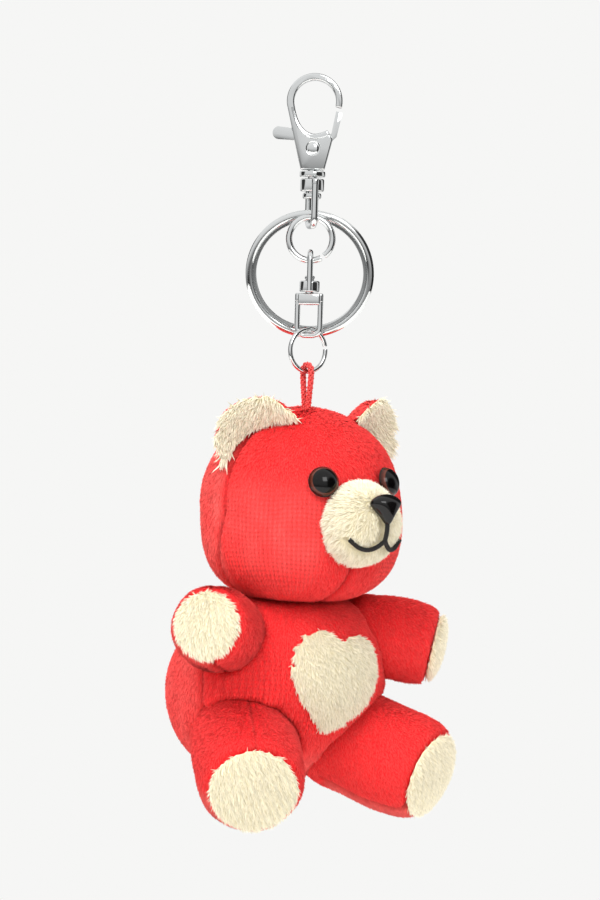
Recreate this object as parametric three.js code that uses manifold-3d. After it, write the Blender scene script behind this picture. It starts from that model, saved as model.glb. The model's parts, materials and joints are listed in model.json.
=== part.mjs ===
// A small plush bear keychain, in millimetres, +Z up.
// The origin is the inner top of the snap hook, the point that the whole thing hangs from.
// The bear faces -Y and is symmetric about X = 0. The chrome snap, rings and swivel are turned about Z.
import * as THREE from 'three';
import { mergeVertices } from 'three/addons/utils/BufferGeometryUtils.js';
import Module from 'manifold-3d';

const wasm = await Module();
wasm.setup();
const deg = Math.PI / 180;
const v3 = (x, y, z) => new THREE.Vector3(x, y, z);

// Snap hook
const metalTurn = -35 * deg; // how far the metal parts are turned from the bear's front
const gap = 0.3;
const hook = { z: -4.9, outerR: 6.5, innerR: 4.85, thick: 3.6, bevel: 0.3, baseZ: -20.9, baseHalfW: 2.75 };
Object.assign(hook, { tipAngle: -14 * deg, sideAngle: 188 * deg });
const slot = { wide: 2.0, top: -10.7, low: -19.3 }; // the room for the lever between the hook's cheeks
const pivot = { z: -15.9, shaftR: 0.8, headR: 1.75, headT: 0.5 };
const lever = { thick: 1.4, hubR: 2.0, boreR: 1.1, tabR: 1.5 };
const spring = { x: -2.75, lowZ: -18.8, highZ: -14.6, coilR: 0.42, wireR: 0.13, turns: 5 };

// Swivels: each has a post through a drum, and a wire loop on the drum
const post = { collarR: 3.0, collarLow: -22.5, shaftR: 1.1, shaftTop: -19.9, tailR: 2.2, tailT: 1.4 };
const eye = { drumR: 2.8, top: -22.9, low: -25.9, turn: 12 * deg };
Object.assign(eye, { wireR: 0.8, halfW: 3.5, wireZ: -33.8, corner: 2.0 });
const hangZ = eye.wireZ + eye.wireR + gap + 0.1; // inner top of both rings that hang on the eye
const keyRing = { outerR: 15, innerR: 12.5, plate: 0.9, pitch: 1.2, turns: 1.97 };
Object.assign(keyRing, { y: 1.2, lean: 10 * deg, start: 72 * deg });
const jumpRing = { outerR: 5.8, wireR: 0.75, y: -1.5, split: -55 * deg, splitWidth: 12 * deg };
const jumpZ = hangZ - (jumpRing.outerR - 2 * jumpRing.wireR);
const link = { wireR: 0.68, drumR: 2.35, drumTop: -46.7, drumLow: -49.3, loopHalfW: 1.9 };
Object.assign(link, { shaftR: 1.0, beadR: 1.2, beadT: 0.9 });
const linkWireZ = jumpZ - jumpRing.outerR + jumpRing.wireR; // middle of the jump ring's lowest wire
const frame = { wireR: 0.63, halfW: 2.65, wireZ: -59.4, corner: 1.9 };
Object.assign(frame, { top: -49.6, blockLow: -52.3, blockDeep: 3.4 });
const lowRing = { outerR: 5.55, wireR: 0.6, split: 8 * deg, splitWidth: 10 * deg };
const lowRingZ = frame.wireZ + frame.wireR + gap + 2 * lowRing.wireR - lowRing.outerR;
const lowWireZ = lowRingZ - lowRing.outerR + lowRing.wireR;
const cord = { r: 0.65, topHalfW: 1.55, rootHalfW: 0.75, rootZ: -75.9, swell: 0.35 };
const knot = { r: 2.0, z: -79.4, endY: 0.6 };

// Bear
const lineY = jumpRing.y * Math.cos(metalTurn); // the hanging line, in the bear's frame
const lineX = -jumpRing.y * Math.sin(metalTurn);
const cloth = 1.2; // wall of every fabric cover
const stemR = 1.0; // stems of the eyes and the nose, which go through the cloth into their washers
const headAt = v3(0, 1.2, -98.6);
const headR = v3(23.6, 23.2, 22.8);
const muzzleAt = v3(0, -21.8, -102.3);
const muzzleR = v3(9.9, 10.4, 10.0);
const earAt = v3(14.9, -0.6, -82.4);
const ear = { r: 10.4, halfT: 3.4, cupR: 7.6, cupDeep: 3.6, out: 0.57, forward: -0.82 };
const eyeAt = { x: 8.7, z: -93.2, r: 3.6 };
const noseAt = { z: -98.8, r: v3(4.0, 2.6, 3.4) };
const torsoAt = v3(0, 8.6, -141.2);
const torsoR = v3(25.6, 23.8, 23.8);
const torsoLean = -0.2; // the chest comes forward by this much per millimetre of height
const neck = v3(0, 2.4, -119.6);
const neckR = 8.0;
const neckFlex = 6 * deg; // how far the head can nod either way
// Each limb runs from its root to its tip. The right one is raised as much as the left one is lowered.
const arm = { root: v3(18.6, 1.2, -128.2), tip: v3(31.9, -8.8, -129.2), raise: 3.2, flex: 14 * deg };
Object.assign(arm, { rootR: 9.6, tipR: 9.9, padR: 8.4, widest: 0.55 });
const leg = { root: v3(13.5, 1.2, -153.4), tip: v3(24.5, -18.2, -161.8), raise: -0.8, flex: 10 * deg };
Object.assign(leg, { rootR: 11.2, tipR: 12.4, padR: 10.9, widest: 0.55 });
const heartSize = { halfW: 12.0, top: -126.6, notch: -129.3, tip: -151.8, shoulder: -133.2, tilt: -7 * deg };

const chrome = new THREE.MeshStandardMaterial({ color: 0xd8dadc, roughness: 0.12, metalness: 1 });
const springSteel = new THREE.MeshStandardMaterial({ color: 0xb4b6b8, roughness: 0.3, metalness: 1 });
const coralPlush = new THREE.MeshStandardMaterial({ color: 0xf44a48, roughness: 0.95, metalness: 0 });
const creamPlush = new THREE.MeshStandardMaterial({ color: 0xf0ebcf, roughness: 0.95, metalness: 0 });
const coralCord = new THREE.MeshStandardMaterial({ color: 0xf2504a, roughness: 0.7, metalness: 0 });
const fibreFill = new THREE.MeshStandardMaterial({ color: 0xf4f4f2, roughness: 1, metalness: 0 });
const blackPlastic = new THREE.MeshStandardMaterial({ color: 0x0c0b0b, roughness: 0.08, metalness: 0 });
const washerPlastic = new THREE.MeshStandardMaterial({ color: 0xe6e6e2, roughness: 0.5, metalness: 0 });
const blackThread = new THREE.MeshStandardMaterial({ color: 0x121010, roughness: 0.6, metalness: 0 });

const keychain = new THREE.Group();
const metal = new THREE.Group();
metal.rotation.z = metalTurn;
keychain.add(metal);

// Turns a closed geometry into a solid that can be cut and joined.
function solidOf(geometry) {
  const bare = geometry.clone();
  bare.deleteAttribute('normal');
  bare.deleteAttribute('uv');
  const merged = mergeVertices(bare, 1e-4);
  const vertProperties = new Float32Array(merged.attributes.position.array);
  const triVerts = new Uint32Array(merged.index.array);
  return new wasm.Manifold(new wasm.Mesh({ numProp: 3, vertProperties, triVerts }));
}

function geometryOf(solid) {
  const mesh = solid.getMesh();
  const geometry = new THREE.BufferGeometry();
  geometry.setAttribute('position', new THREE.BufferAttribute(new Float32Array(mesh.vertProperties), 3));
  geometry.setIndex(new THREE.BufferAttribute(new Uint32Array(mesh.triVerts), 1));
  geometry.computeVertexNormals();
  return geometry;
}

function cut(base, ...tools) {
  let solid = solidOf(base);
  for (const tool of tools) {
    solid = solid.subtract(solidOf(tool));
  }
  return geometryOf(solid);
}

function join(base, ...others) {
  let solid = solidOf(base);
  for (const other of others) {
    solid = solid.add(solidOf(other));
  }
  return geometryOf(solid);
}

const common = (a, b) => geometryOf(solidOf(a).intersect(solidOf(b)));

function place(group, name, geometry, material) {
  const mesh = new THREE.Mesh(geometry, material);
  mesh.name = name;
  group.add(mesh);
  return mesh;
}

// A round bar along a curve, with flat ends.
function bar(curve, radius, steps, sides = 8) {
  const section = new THREE.Shape();
  section.absarc(0, 0, radius, 0, 2 * Math.PI, false);
  return new THREE.ExtrudeGeometry(section, { steps, extrudePath: curve, curveSegments: sides / 2 });
}

// A profile of [radius, height] points turned about the Z axis.
function lathed(points, sides) {
  const profile = points.map(([r, z]) => new THREE.Vector2(r, z));
  return new THREE.LatheGeometry(profile, sides).rotateX(Math.PI / 2);
}

// A drum standing on the Z axis.
function drum(radius, low, high, sides = 20) {
  const geometry = new THREE.CylinderGeometry(radius, radius, high - low, sides);
  geometry.rotateX(Math.PI / 2);
  return geometry.translate(0, 0, (low + high) / 2);
}

// A circular arc in the XZ plane, from one angle to another, drifting along Y.
class RingPath extends THREE.Curve {
  constructor(radius, from, to, drift = 0) {
    super();
    Object.assign(this, { radius, from, to, drift });
  }

  getPoint(t) {
    const a = this.from + t * (this.to - this.from);
    return v3(this.radius * Math.cos(a), this.drift * (t - 0.5), this.radius * Math.sin(a));
  }
}

// A ring of round wire with a narrow split, standing in the XZ plane.
function splitWireRing(size) {
  const from = size.split + size.splitWidth / 2;
  const path = new RingPath(size.outerR - size.wireR, from, from + 2 * Math.PI - size.splitWidth);
  return bar(path, size.wireR, 26);
}

// An upright U of wire in the YZ plane with rounded corners: down one side, across and up.
function wireU(halfW, topZ, lowZ, corner) {
  const path = new THREE.CurvePath();
  const left = v3(0, -halfW, lowZ + corner);
  const right = v3(0, halfW, lowZ + corner);
  const lowLeft = v3(0, -halfW + corner, lowZ);
  const lowRight = v3(0, halfW - corner, lowZ);
  path.add(new THREE.LineCurve3(v3(0, -halfW, topZ), left));
  path.add(new THREE.QuadraticBezierCurve3(left, v3(0, -halfW, lowZ), lowLeft));
  path.add(new THREE.LineCurve3(lowLeft, lowRight));
  path.add(new THREE.QuadraticBezierCurve3(lowRight, v3(0, halfW, lowZ), right));
  path.add(new THREE.LineCurve3(right, v3(0, halfW, topZ)));
  return path;
}

// The hook's outline, drawn inside its real edge by the bevel that is added to it.
function hookShape() {
  const b = hook.bevel;
  const c = hook.z;
  const shape = new THREE.Shape();
  shape.moveTo(-hook.baseHalfW + b, hook.baseZ + b);
  shape.absarc(0.1, c, hook.outerR - b, hook.sideAngle, hook.tipAngle, true);
  shape.absarc(0.2, c, hook.innerR + b, hook.tipAngle, hook.sideAngle, false);
  shape.quadraticCurveTo(-3.8, -12.5, 0.2, -12.5 - b);
  shape.quadraticCurveTo(1.8, -12.4 - b, 3.2 - b / 2, -11.6 - b);
  shape.lineTo(4.5 - b, -13.7);
  shape.lineTo(hook.baseHalfW - b, hook.baseZ + b);
  return shape;
}

function buildHook() {
  const b = hook.bevel;
  const body = new THREE.ExtrudeGeometry(hookShape(), {
    depth: hook.thick - 2 * b, bevelThickness: b, bevelSize: b, bevelSegments: 1, curveSegments: 11,
  });
  body.rotateX(Math.PI / 2).translate(0, hook.thick / 2 - b, 0);
  const room = new THREE.BoxGeometry(30, slot.wide, slot.top - slot.low);
  room.translate(0, 0, (slot.top + slot.low) / 2);
  const boreR = pivot.shaftR + gap;
  const bore = new THREE.CylinderGeometry(boreR, boreR, 10, 16).translate(0, 0, pivot.z);
  const seat = drum(post.shaftR + gap, hook.baseZ - 1, post.shaftTop + gap, 16);
  place(metal, 'hook_body', cut(body, room, bore, seat), chrome);

  const half = hook.thick / 2;
  const shaft = new THREE.CylinderGeometry(pivot.shaftR, pivot.shaftR, hook.thick + 2 * gap + 0.2, 16);
  const heads = [-1, 1].map((side) => {
    const head = new THREE.CylinderGeometry(pivot.headR, pivot.headR, pivot.headT, 16);
    return head.translate(0, side * (half + gap + pivot.headT / 2), 0);
  });
  place(metal, 'pivot_rivet', join(shaft, ...heads).translate(0, 0, pivot.z), chrome);
}

// The thumb tab, the hub round the rivet and the gate bar are one stamped lever.
function buildLever() {
  const shape = new THREE.Shape();
  shape.moveTo(-1.7, -14.1);
  shape.lineTo(-8.2, -13.9);
  shape.absarc(-8.0, -12.4, lever.tabR, -100 * deg, -260 * deg, true);
  shape.lineTo(-3.0, -11.4);
  shape.quadraticCurveTo(0.6, -13.6, 3.0, -13.4);
  shape.lineTo(4.2, -12.2);
  shape.lineTo(5.15, -7.1);
  shape.lineTo(6.6, -7.5);
  shape.lineTo(5.4, -13.0);
  shape.lineTo(2.0, -16.4);
  shape.absarc(0, pivot.z, lever.hubR, -12 * deg, -150 * deg, true);
  const sheet = { depth: lever.thick, bevelEnabled: false, curveSegments: 8 };
  const plate = new THREE.ExtrudeGeometry(shape, sheet);
  plate.rotateX(Math.PI / 2).translate(0, lever.thick / 2, 0);
  const bore = new THREE.CylinderGeometry(lever.boreR, lever.boreR, 5, 16).translate(0, 0, pivot.z);
  place(metal, 'trigger_gate', cut(plate, bore), chrome);
}

function buildSpring() {
  class Coil extends THREE.Curve {
    getPoint(t) {
      const a = 2 * Math.PI * spring.turns * t;
      const z = spring.lowZ + t * (spring.highZ - spring.lowZ);
      return v3(spring.x + spring.coilR * Math.cos(a), spring.coilR * Math.sin(a), z);
    }
  }
  place(metal, 'gate_spring', bar(new Coil(), spring.wireR, 45, 4), springSteel);
}

function buildClaspSwivel() {
  const tailTop = eye.low - gap;
  const shaft = drum(post.shaftR, tailTop - 0.2, post.shaftTop, 16);
  const collar = drum(post.collarR, post.collarLow, hook.baseZ - gap);
  const tail = drum(post.tailR, tailTop - post.tailT, tailTop);
  place(metal, 'swivel_post', join(collar, shaft, tail), chrome);

  const ring = cut(drum(eye.drumR, eye.low, eye.top), drum(post.shaftR + gap, eye.low - 1, eye.top + 1, 16));
  const wire = bar(wireU(eye.halfW, eye.top - 0.1, eye.wireZ, eye.corner), eye.wireR, 20);
  place(metal, 'swivel_eye', join(ring, wire), chrome).rotation.z = eye.turn;
}

// The key ring is two turns of flat wire; the wire's flat faces look along the ring's axis.
function buildRings() {
  const middleR = (keyRing.outerR + keyRing.innerR) / 2;
  const endAngle = keyRing.start + 2 * Math.PI * keyRing.turns;
  const path = new RingPath(middleR, keyRing.start, endAngle, keyRing.pitch * keyRing.turns);
  const halfT = keyRing.plate / 2;
  const halfW = (keyRing.outerR - keyRing.innerR) / 2;
  const section = new THREE.Shape();
  section.moveTo(-halfT, -halfW);
  section.lineTo(halfT, -halfW);
  section.lineTo(halfT, halfW);
  section.lineTo(-halfT, halfW);
  const coil = new THREE.ExtrudeGeometry(section, { steps: 64, extrudePath: path });
  coil.translate(0, 0, -keyRing.innerR).rotateX(keyRing.lean).translate(0, keyRing.y, hangZ);
  place(metal, 'key_ring', coil, chrome);

  const ring = place(metal, 'upper_jump_ring', splitWireRing(jumpRing), chrome);
  ring.position.set(0, jumpRing.y, jumpZ);

  const small = place(keychain, 'lower_ring', splitWireRing(lowRing), chrome);
  small.position.set(lineX, lineY, lowRingZ);
}

function buildLink() {
  const group = new THREE.Group();
  group.position.y = jumpRing.y;
  metal.add(group);

  const drumBody = cut(drum(link.drumR, link.drumLow, link.drumTop), drum(link.shaftR + gap, -60, -40, 16));
  const loop = wireU(link.loopHalfW, link.drumLow + 0.4, linkWireZ + link.loopHalfW, link.loopHalfW);
  place(group, 'connector_eye', join(drumBody, bar(loop, link.wireR, 20)), chrome);

  const beadLow = link.drumTop + gap;
  const bead = drum(link.beadR, beadLow, beadLow + link.beadT, 16);
  const shaft = drum(link.shaftR, frame.blockLow + gap, beadLow + 0.1, 16);
  place(group, 'connector_rivet', join(shaft, bead), chrome);

  const block = new THREE.BoxGeometry(2 * frame.halfW, frame.blockDeep, frame.top - frame.blockLow);
  block.translate(0, 0, (frame.top + frame.blockLow) / 2);
  const path = wireU(frame.halfW, frame.top - 0.1, frame.wireZ, frame.corner);
  const u = bar(path, frame.wireR, 20).rotateZ(Math.PI / 2);
  const seat = drum(link.shaftR + gap, frame.blockLow, frame.top + 1, 16);
  place(group, 'connector_frame', cut(join(block, u), seat), chrome);
}

function buildCord() {
  const top = lowWireZ + lowRing.wireR + gap + cord.r;
  const loop = new THREE.CatmullRomCurve3([
    v3(0, -cord.rootHalfW, cord.rootZ),
    v3(0, -cord.rootHalfW - cord.swell, cord.rootZ + 3),
    v3(0, -cord.topHalfW, lowWireZ - 1.2),
    v3(0, -cord.topHalfW, lowWireZ),
    v3(0, 0, top),
    v3(0, cord.topHalfW, lowWireZ),
    v3(0, cord.topHalfW, lowWireZ - 1.2),
    v3(0, cord.rootHalfW + cord.swell, cord.rootZ + 3),
    v3(0, cord.rootHalfW, cord.rootZ),
  ]);
  place(keychain, 'hanging_cord', bar(loop, cord.r, 26), coralCord).position.set(lineX, lineY, 0);

  const neckLength = cord.rootZ - gap - knot.z;
  const ends = [-1, 1].map((side) => {
    const end = new THREE.CylinderGeometry(cord.r, cord.r, neckLength, 8).rotateX(Math.PI / 2);
    return end.translate(0, side * knot.endY, knot.z + neckLength / 2);
  });
  const ball = new THREE.SphereGeometry(knot.r, 12, 8).translate(0, 0, knot.z);
  place(keychain, 'cord_knot', join(ball, ...ends), coralCord).position.set(lineX, lineY, 0);
}

// An ellipsoid grown by an even amount, standing at a point.
function ellipsoid(radii, at, grow = 0, wide = 24, high = 16) {
  const ball = new THREE.SphereGeometry(1, wide, high).rotateX(Math.PI / 2);
  ball.scale(radii.x + grow, radii.y + grow, radii.z + grow);
  return ball.translate(at.x, at.y, at.z);
}

const head = (grow, wide = 20, high = 14) => ellipsoid(headR, headAt, grow, wide, high);
const muzzle = (grow) => ellipsoid(muzzleR, muzzleAt, grow, 14, 10);

function torso(grow, wide = 20, high = 14) {
  const body = ellipsoid(torsoR, v3(0, 0, 0), grow, wide, high);
  const lean = new THREE.Matrix4().set(1, 0, 0, 0, 0, 1, torsoLean, 0, 0, 0, 1, 0, 0, 0, 0, 1);
  return body.applyMatrix4(lean).translate(torsoAt.x, torsoAt.y, torsoAt.z);
}

// Where the head's skin is at a given side and height.
function headSkinY(x, z) {
  const flat = (x / headR.x) ** 2 + ((z - headAt.z) / headR.z) ** 2;
  return headAt.y - headR.y * Math.sqrt(1 - flat);
}

function muzzleSkin(x, z, proud) {
  const flat = (x / muzzleR.x) ** 2 + ((z - muzzleAt.z) / muzzleR.z) ** 2;
  return v3(x, muzzleAt.y - muzzleR.y * Math.sqrt(1 - flat) - proud, z);
}

// A shape made along +Z, moved so that its Z axis points along a direction.
function aimed(geometry, at, direction) {
  const turn = new THREE.Quaternion().setFromUnitVectors(v3(0, 0, 1), direction.clone().normalize());
  return geometry.applyQuaternion(turn).translate(at.x, at.y, at.z);
}

const sides = [{ name: 'right', x: -1 }, { name: 'left', x: 1 }];

function eyeParts(side) {
  const z = eyeAt.z;
  const skin = v3(side * eyeAt.x, headSkinY(eyeAt.x, z), z);
  const out = skin.clone().sub(headAt).divide(headR).divide(headR).normalize();
  const dome = new THREE.SphereGeometry(eyeAt.r, 16, 10).rotateX(Math.PI / 2).scale(1, 1, 0.8);
  const under = drum(eyeAt.r + 1, -4, 0.75);
  const button = join(cut(dome, under), drum(stemR, -4.2, 0.9, 10));
  const washer = cut(drum(2.8, -3.2, -2.2, 16), drum(stemR + gap, -5, 0, 10));
  return {
    button: aimed(button, skin, out),
    washer: aimed(washer, skin, out),
    hole: aimed(drum(stemR + gap, -3, 1.5, 10), skin, out),
    pocket: aimed(drum(3.2, -4.8, 1.0, 12), skin, out),
    rim: aimed(drum(eyeAt.r + gap, -3, 6, 12), skin, out),
  };
}

function buildHead() {
  const eyes = sides.map((side) => eyeParts(side.x));
  const neckHole = drum(neckR, -130, -112, 16).translate(neck.x, neck.y, 0);
  const cordHole = new THREE.BoxGeometry(2.2, 4.0, 8).translate(lineX, lineY, -76);
  const holes = eyes.map((parts) => parts.hole);
  place(keychain, 'head_cover', cut(head(0), head(-cloth, 14, 10), neckHole, cordHole, ...holes), coralPlush);

  const knotRoom = new THREE.BoxGeometry(5.0, 5.0, 16).translate(lineX, lineY, -74.4);
  const pockets = eyes.map((parts) => parts.pocket);
  place(keychain, 'head_stuffing', cut(head(-cloth - gap - 0.7, 14, 10), knotRoom, ...pockets), fibreFill);
  sides.forEach((side, index) => {
    place(keychain, `eye_${side.name}`, eyes[index].button, blackPlastic);
    place(keychain, `eye_washer_${side.name}`, eyes[index].washer, washerPlastic);
  });
}

function buildMuzzle() {
  const rims = sides.map((side) => eyeParts(side.x).rim);
  const noseSkin = muzzleSkin(0, noseAt.z, 0);
  const forward = v3(0, -1, 0.25);
  const button = new THREE.SphereGeometry(1, 16, 10);
  button.scale(noseAt.r.x, noseAt.r.z, noseAt.r.y).translate(0, 0, 1.0);
  const back = drum(6, -4, 0.4);
  const nose = join(cut(button, back), drum(stemR, -4.2, 0.6, 10));
  const washer = cut(drum(2.3, -3.2, -2.2, 16), drum(stemR + gap, -5, 0, 10));
  const hole = aimed(drum(stemR + gap, -3, 2, 10), noseSkin, forward);
  const pocket = aimed(drum(3.0, -4.8, 2, 12), noseSkin, forward);
  place(keychain, 'muzzle_cover', cut(muzzle(0), muzzle(-cloth), head(gap), hole, ...rims), creamPlush);
  place(keychain, 'muzzle_stuffing', cut(muzzle(-cloth - gap), head(gap), pocket, ...rims), fibreFill);
  place(keychain, 'nose', aimed(nose, noseSkin, forward), blackPlastic);
  place(keychain, 'nose_washer', aimed(washer, noseSkin, forward), washerPlastic);

  const threadR = 0.45;
  const proud = threadR + gap;
  const lip = (side) => [[0.65, -106.1], [2.0, -107.3], [4.0, -107.7], [5.8, -107.0], [7.0, -105.8]]
    .map(([x, z]) => muzzleSkin(side * x, z, proud));
  const middle = [-102.2, -103.6, -104.8].map((z) => muzzleSkin(0, z, proud));
  place(keychain, 'mouth_stitch_middle', bar(new THREE.CatmullRomCurve3(middle), threadR, 4, 6), blackThread);
  for (const side of sides) {
    const thread = bar(new THREE.CatmullRomCurve3(lip(side.x)), threadR, 8, 6);
    place(keychain, `mouth_stitch_${side.name}`, thread, blackThread);
  }
}

// Each ear is a cupped disc of two cloths: cream in front and coral behind.
function buildEars() {
  for (const side of sides) {
    const at = v3(side.x * earAt.x, earAt.y, earAt.z);
    const up = at.clone().sub(headAt).normalize();
    const front = v3(side.x * ear.out, ear.forward, 0);
    front.addScaledVector(up, -front.dot(up)).normalize();
    const back = front.clone().negate();
    const across = new THREE.Vector3().crossVectors(back, up);
    const stand = new THREE.Matrix4().makeBasis(across, back, up).setPosition(at);

    const disc = () => ellipsoid(v3(ear.r, ear.halfT, ear.r), v3(0, 0.6, 0), 0, 16, 10);
    const cup = ellipsoid(v3(ear.cupR, ear.cupDeep, ear.cupR), v3(0, -ear.cupDeep, 0.6), 0, 12, 8);
    const frontHalf = new THREE.BoxGeometry(30, 10, 30).translate(0, -5, 0);
    const backHalf = new THREE.BoxGeometry(30, 10, 30).translate(0, 5 + gap, 0);
    const cream = cut(common(disc(), frontHalf), cup).applyMatrix4(stand);
    const coral = common(disc(), backHalf).applyMatrix4(stand);
    place(keychain, `ear_front_${side.name}`, cut(cream, head(gap)), creamPlush);
    place(keychain, `ear_back_${side.name}`, cut(coral, head(gap)), coralPlush);
  }
}

// The under half of a ball, as points of radius and height.
function ballOutline(r, steps) {
  const points = [[0, -r]];
  for (let step = 1; step <= steps; step += 1) {
    const a = (-90 + 18 * step) * deg;
    points.push([r * Math.cos(a), r * Math.sin(a)]);
  }
  return points;
}

// The outline of a limb from its round root to its paw end, as points of radius and height.
function limbOutline(size, inset) {
  const length = size.root.distanceTo(size.tip);
  const points = ballOutline(size.rootR - inset, 5);
  points.push([size.tipR - inset, length * size.widest]);
  points.push([size.tipR - inset, length * 0.8]);
  points.push([size.padR - inset, length]);
  return points;
}

function limbAim(geometry, size, side) {
  const root = v3(side * size.root.x, size.root.y, size.root.z);
  const tip = v3(side * size.tip.x, size.tip.y, size.tip.z - side * size.raise);
  return aimed(geometry, root, tip.sub(root));
}

// The room that a limb needs in the body: a ball round its root, then the limb's outline at its full bend.
function limbRoom(size, side, clear, round) {
  const outline = ballOutline(size.rootR + clear, 4);
  const middle = size.root.distanceTo(size.tip) * size.widest;
  const wide = size.tipR * Math.cos(size.flex) + middle * Math.sin(size.flex) + clear;
  const high = middle * Math.cos(size.flex) - size.tipR * Math.sin(size.flex);
  const reach = 24;
  outline.push([size.rootR + clear + 0.4, 0], [wide, high]);
  outline.push([wide + (reach - high) * Math.tan(size.flex), reach], [0, reach]);
  return limbAim(lathed(outline, round), size, side);
}

// The room that the nodding head needs: the head itself, turned about the neck both ways.
function headRooms(clear, wide, high) {
  return [-neckFlex, 0, neckFlex].map((angle) => {
    const room = head(clear, wide, high).translate(0, -neck.y, -neck.z);
    return room.rotateX(angle).translate(0, neck.y, neck.z);
  });
}

function buildLimb(name, padName, size, side) {
  const length = size.root.distanceTo(size.tip);
  const outer = limbOutline(size, 0);
  const inner = limbOutline(size, cloth).reverse();
  const cover = lathed([...outer, ...inner], 16);
  place(keychain, `${name}_cover_${side.name}`, limbAim(cover, size, side.x), coralPlush);

  const core = limbOutline(size, cloth + gap + 0.3);
  core.at(-1)[1] = length - 0.6;
  core.push([0, length - 0.6]);
  place(keychain, `${name}_stuffing_${side.name}`, limbAim(lathed(core, 10), size, side.x), fibreFill);

  const padLow = length + gap;
  const dome = [[0, 0], [size.padR, 0], [size.padR - 0.4, 1.2], [size.padR * 0.72, 2.3], [0, 3.2]];
  const pad = lathed(dome.map(([r, z]) => [r, padLow + z]), 16);
  place(keychain, `${padName}_${side.name}`, limbAim(pad, size, side.x), creamPlush);
}

function buildTorso() {
  const rooms = (clear, round) => {
    const limbs = sides.flatMap((side) => [arm, leg].map((size) => limbRoom(size, side.x, clear, round)));
    return [...headRooms(clear, 20, 14), ...limbs];
  };
  const neckHole = drum(neckR, -124, -110, 12).translate(neck.x, neck.y, 0);
  const skin = cut(torso(0), ...rooms(0.5, 18));
  place(keychain, 'torso_cover', cut(skin, torso(-cloth, 14, 10), neckHole), coralPlush);
  place(keychain, 'torso_stuffing', cut(torso(-cloth - gap - 0.7, 12, 8), ...rooms(1.3, 10)), fibreFill);

  const h = heartSize;
  const shape = new THREE.Shape();
  shape.moveTo(0, h.tip);
  shape.bezierCurveTo(-7.5, h.tip + 3.5, -h.halfW - 1.6, -142.0, -h.halfW, h.shoulder);
  shape.bezierCurveTo(-h.halfW + 1.2, h.top - 0.4, -3.6, h.top + 0.6, 0, h.notch);
  shape.bezierCurveTo(3.6, h.top + 0.6, h.halfW - 1.2, h.top - 0.4, h.halfW, h.shoulder);
  shape.bezierCurveTo(h.halfW + 1.6, -142.0, 7.5, h.tip + 3.5, 0, h.tip);
  const prism = new THREE.ExtrudeGeometry(shape, { depth: 40, bevelEnabled: false, curveSegments: 6 });
  prism.rotateX(Math.PI / 2).translate(0, 5, -h.tip).rotateY(-h.tilt).translate(0, 0, h.tip);
  const patch = cut(common(prism, torso(1.3)), torso(gap + 0.1), ...rooms(0.5, 18));
  place(keychain, 'heart_patch', patch, creamPlush);
}

buildHook();
buildLever();
buildSpring();
buildClaspSwivel();
buildRings();
buildLink();
buildCord();
buildHead();
buildMuzzle();
buildEars();
buildTorso();
for (const side of sides) {
  buildLimb('arm', 'paw_pad', arm, side);
  buildLimb('leg', 'sole_pad', leg, side);
}

export default keychain;
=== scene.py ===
import json
import math

import bpy
from mathutils import Matrix, Quaternion, Vector, noise


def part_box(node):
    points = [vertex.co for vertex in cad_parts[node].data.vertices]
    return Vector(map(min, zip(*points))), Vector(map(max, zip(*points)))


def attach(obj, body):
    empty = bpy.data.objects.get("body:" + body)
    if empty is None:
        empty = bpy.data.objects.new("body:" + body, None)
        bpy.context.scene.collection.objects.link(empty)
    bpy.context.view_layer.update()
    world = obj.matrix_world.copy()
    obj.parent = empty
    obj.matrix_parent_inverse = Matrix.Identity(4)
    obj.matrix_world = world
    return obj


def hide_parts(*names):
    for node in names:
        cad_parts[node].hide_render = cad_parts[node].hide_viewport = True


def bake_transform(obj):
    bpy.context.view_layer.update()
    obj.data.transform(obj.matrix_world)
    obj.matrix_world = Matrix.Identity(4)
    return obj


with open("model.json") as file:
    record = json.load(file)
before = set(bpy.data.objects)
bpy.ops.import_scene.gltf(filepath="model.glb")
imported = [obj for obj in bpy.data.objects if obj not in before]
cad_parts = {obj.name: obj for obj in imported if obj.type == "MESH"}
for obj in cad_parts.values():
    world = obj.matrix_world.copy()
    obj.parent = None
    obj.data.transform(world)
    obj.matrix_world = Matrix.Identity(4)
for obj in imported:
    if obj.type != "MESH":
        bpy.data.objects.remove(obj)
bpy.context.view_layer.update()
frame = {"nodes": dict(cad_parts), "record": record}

mm = 0.001
record = frame["record"]
joints = {joint["name"]: joint for joint in record["behaviour"]["joints"]}
right, left = "right", "left"
sideSign = {right: -1, left: 1}  # the bear faces -Y, so its right side is -X
gateAxis = joints["gate_trigger"]["axis"]
metalTurn = math.atan2(gateAxis[0], -gateAxis[1])  # how far the metal parts are turned from the bear's front
lineAt = Vector(joints["cord_swing"]["pos_m"])  # the lowest wire of the lower ring, on the hanging line


# Small tools

def makeActive(piece):
    if bpy.context.object and bpy.context.object.mode != "OBJECT":
        bpy.ops.object.mode_set(mode="OBJECT")
    bpy.ops.object.select_all(action="DESELECT")
    piece.select_set(True)
    bpy.context.view_layer.objects.active = piece


def nothingSelected():
    bpy.ops.object.select_all(action="DESELECT")
    bpy.context.view_layer.objects.active = None


def settle(piece):  # the object goes to the origin, and its place goes into its mesh
    makeActive(piece)
    bpy.ops.object.transform_apply(location=True, rotation=True, scale=True)


def modify(piece, kind, **settings):  # adds a modifier and applies it
    makeActive(piece)
    modifier = piece.modifiers.new(kind.title(), kind)
    for name, value in settings.items():
        setattr(modifier, name, value)
    bpy.ops.object.modifier_apply(modifier=modifier.name)


def editSelected(piece, test):  # opens the piece in edit mode with the points that pass the test selected
    makeActive(piece)
    mesh = piece.data
    for face in mesh.polygons:
        face.select = False
    for edge in mesh.edges:
        edge.select = False
    for point in mesh.vertices:
        point.select = test(point.co)
    bpy.ops.object.mode_set(mode="EDIT")
    bpy.ops.mesh.select_mode(type="VERT")


def editDone():
    bpy.ops.object.mode_set(mode="OBJECT")


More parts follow.
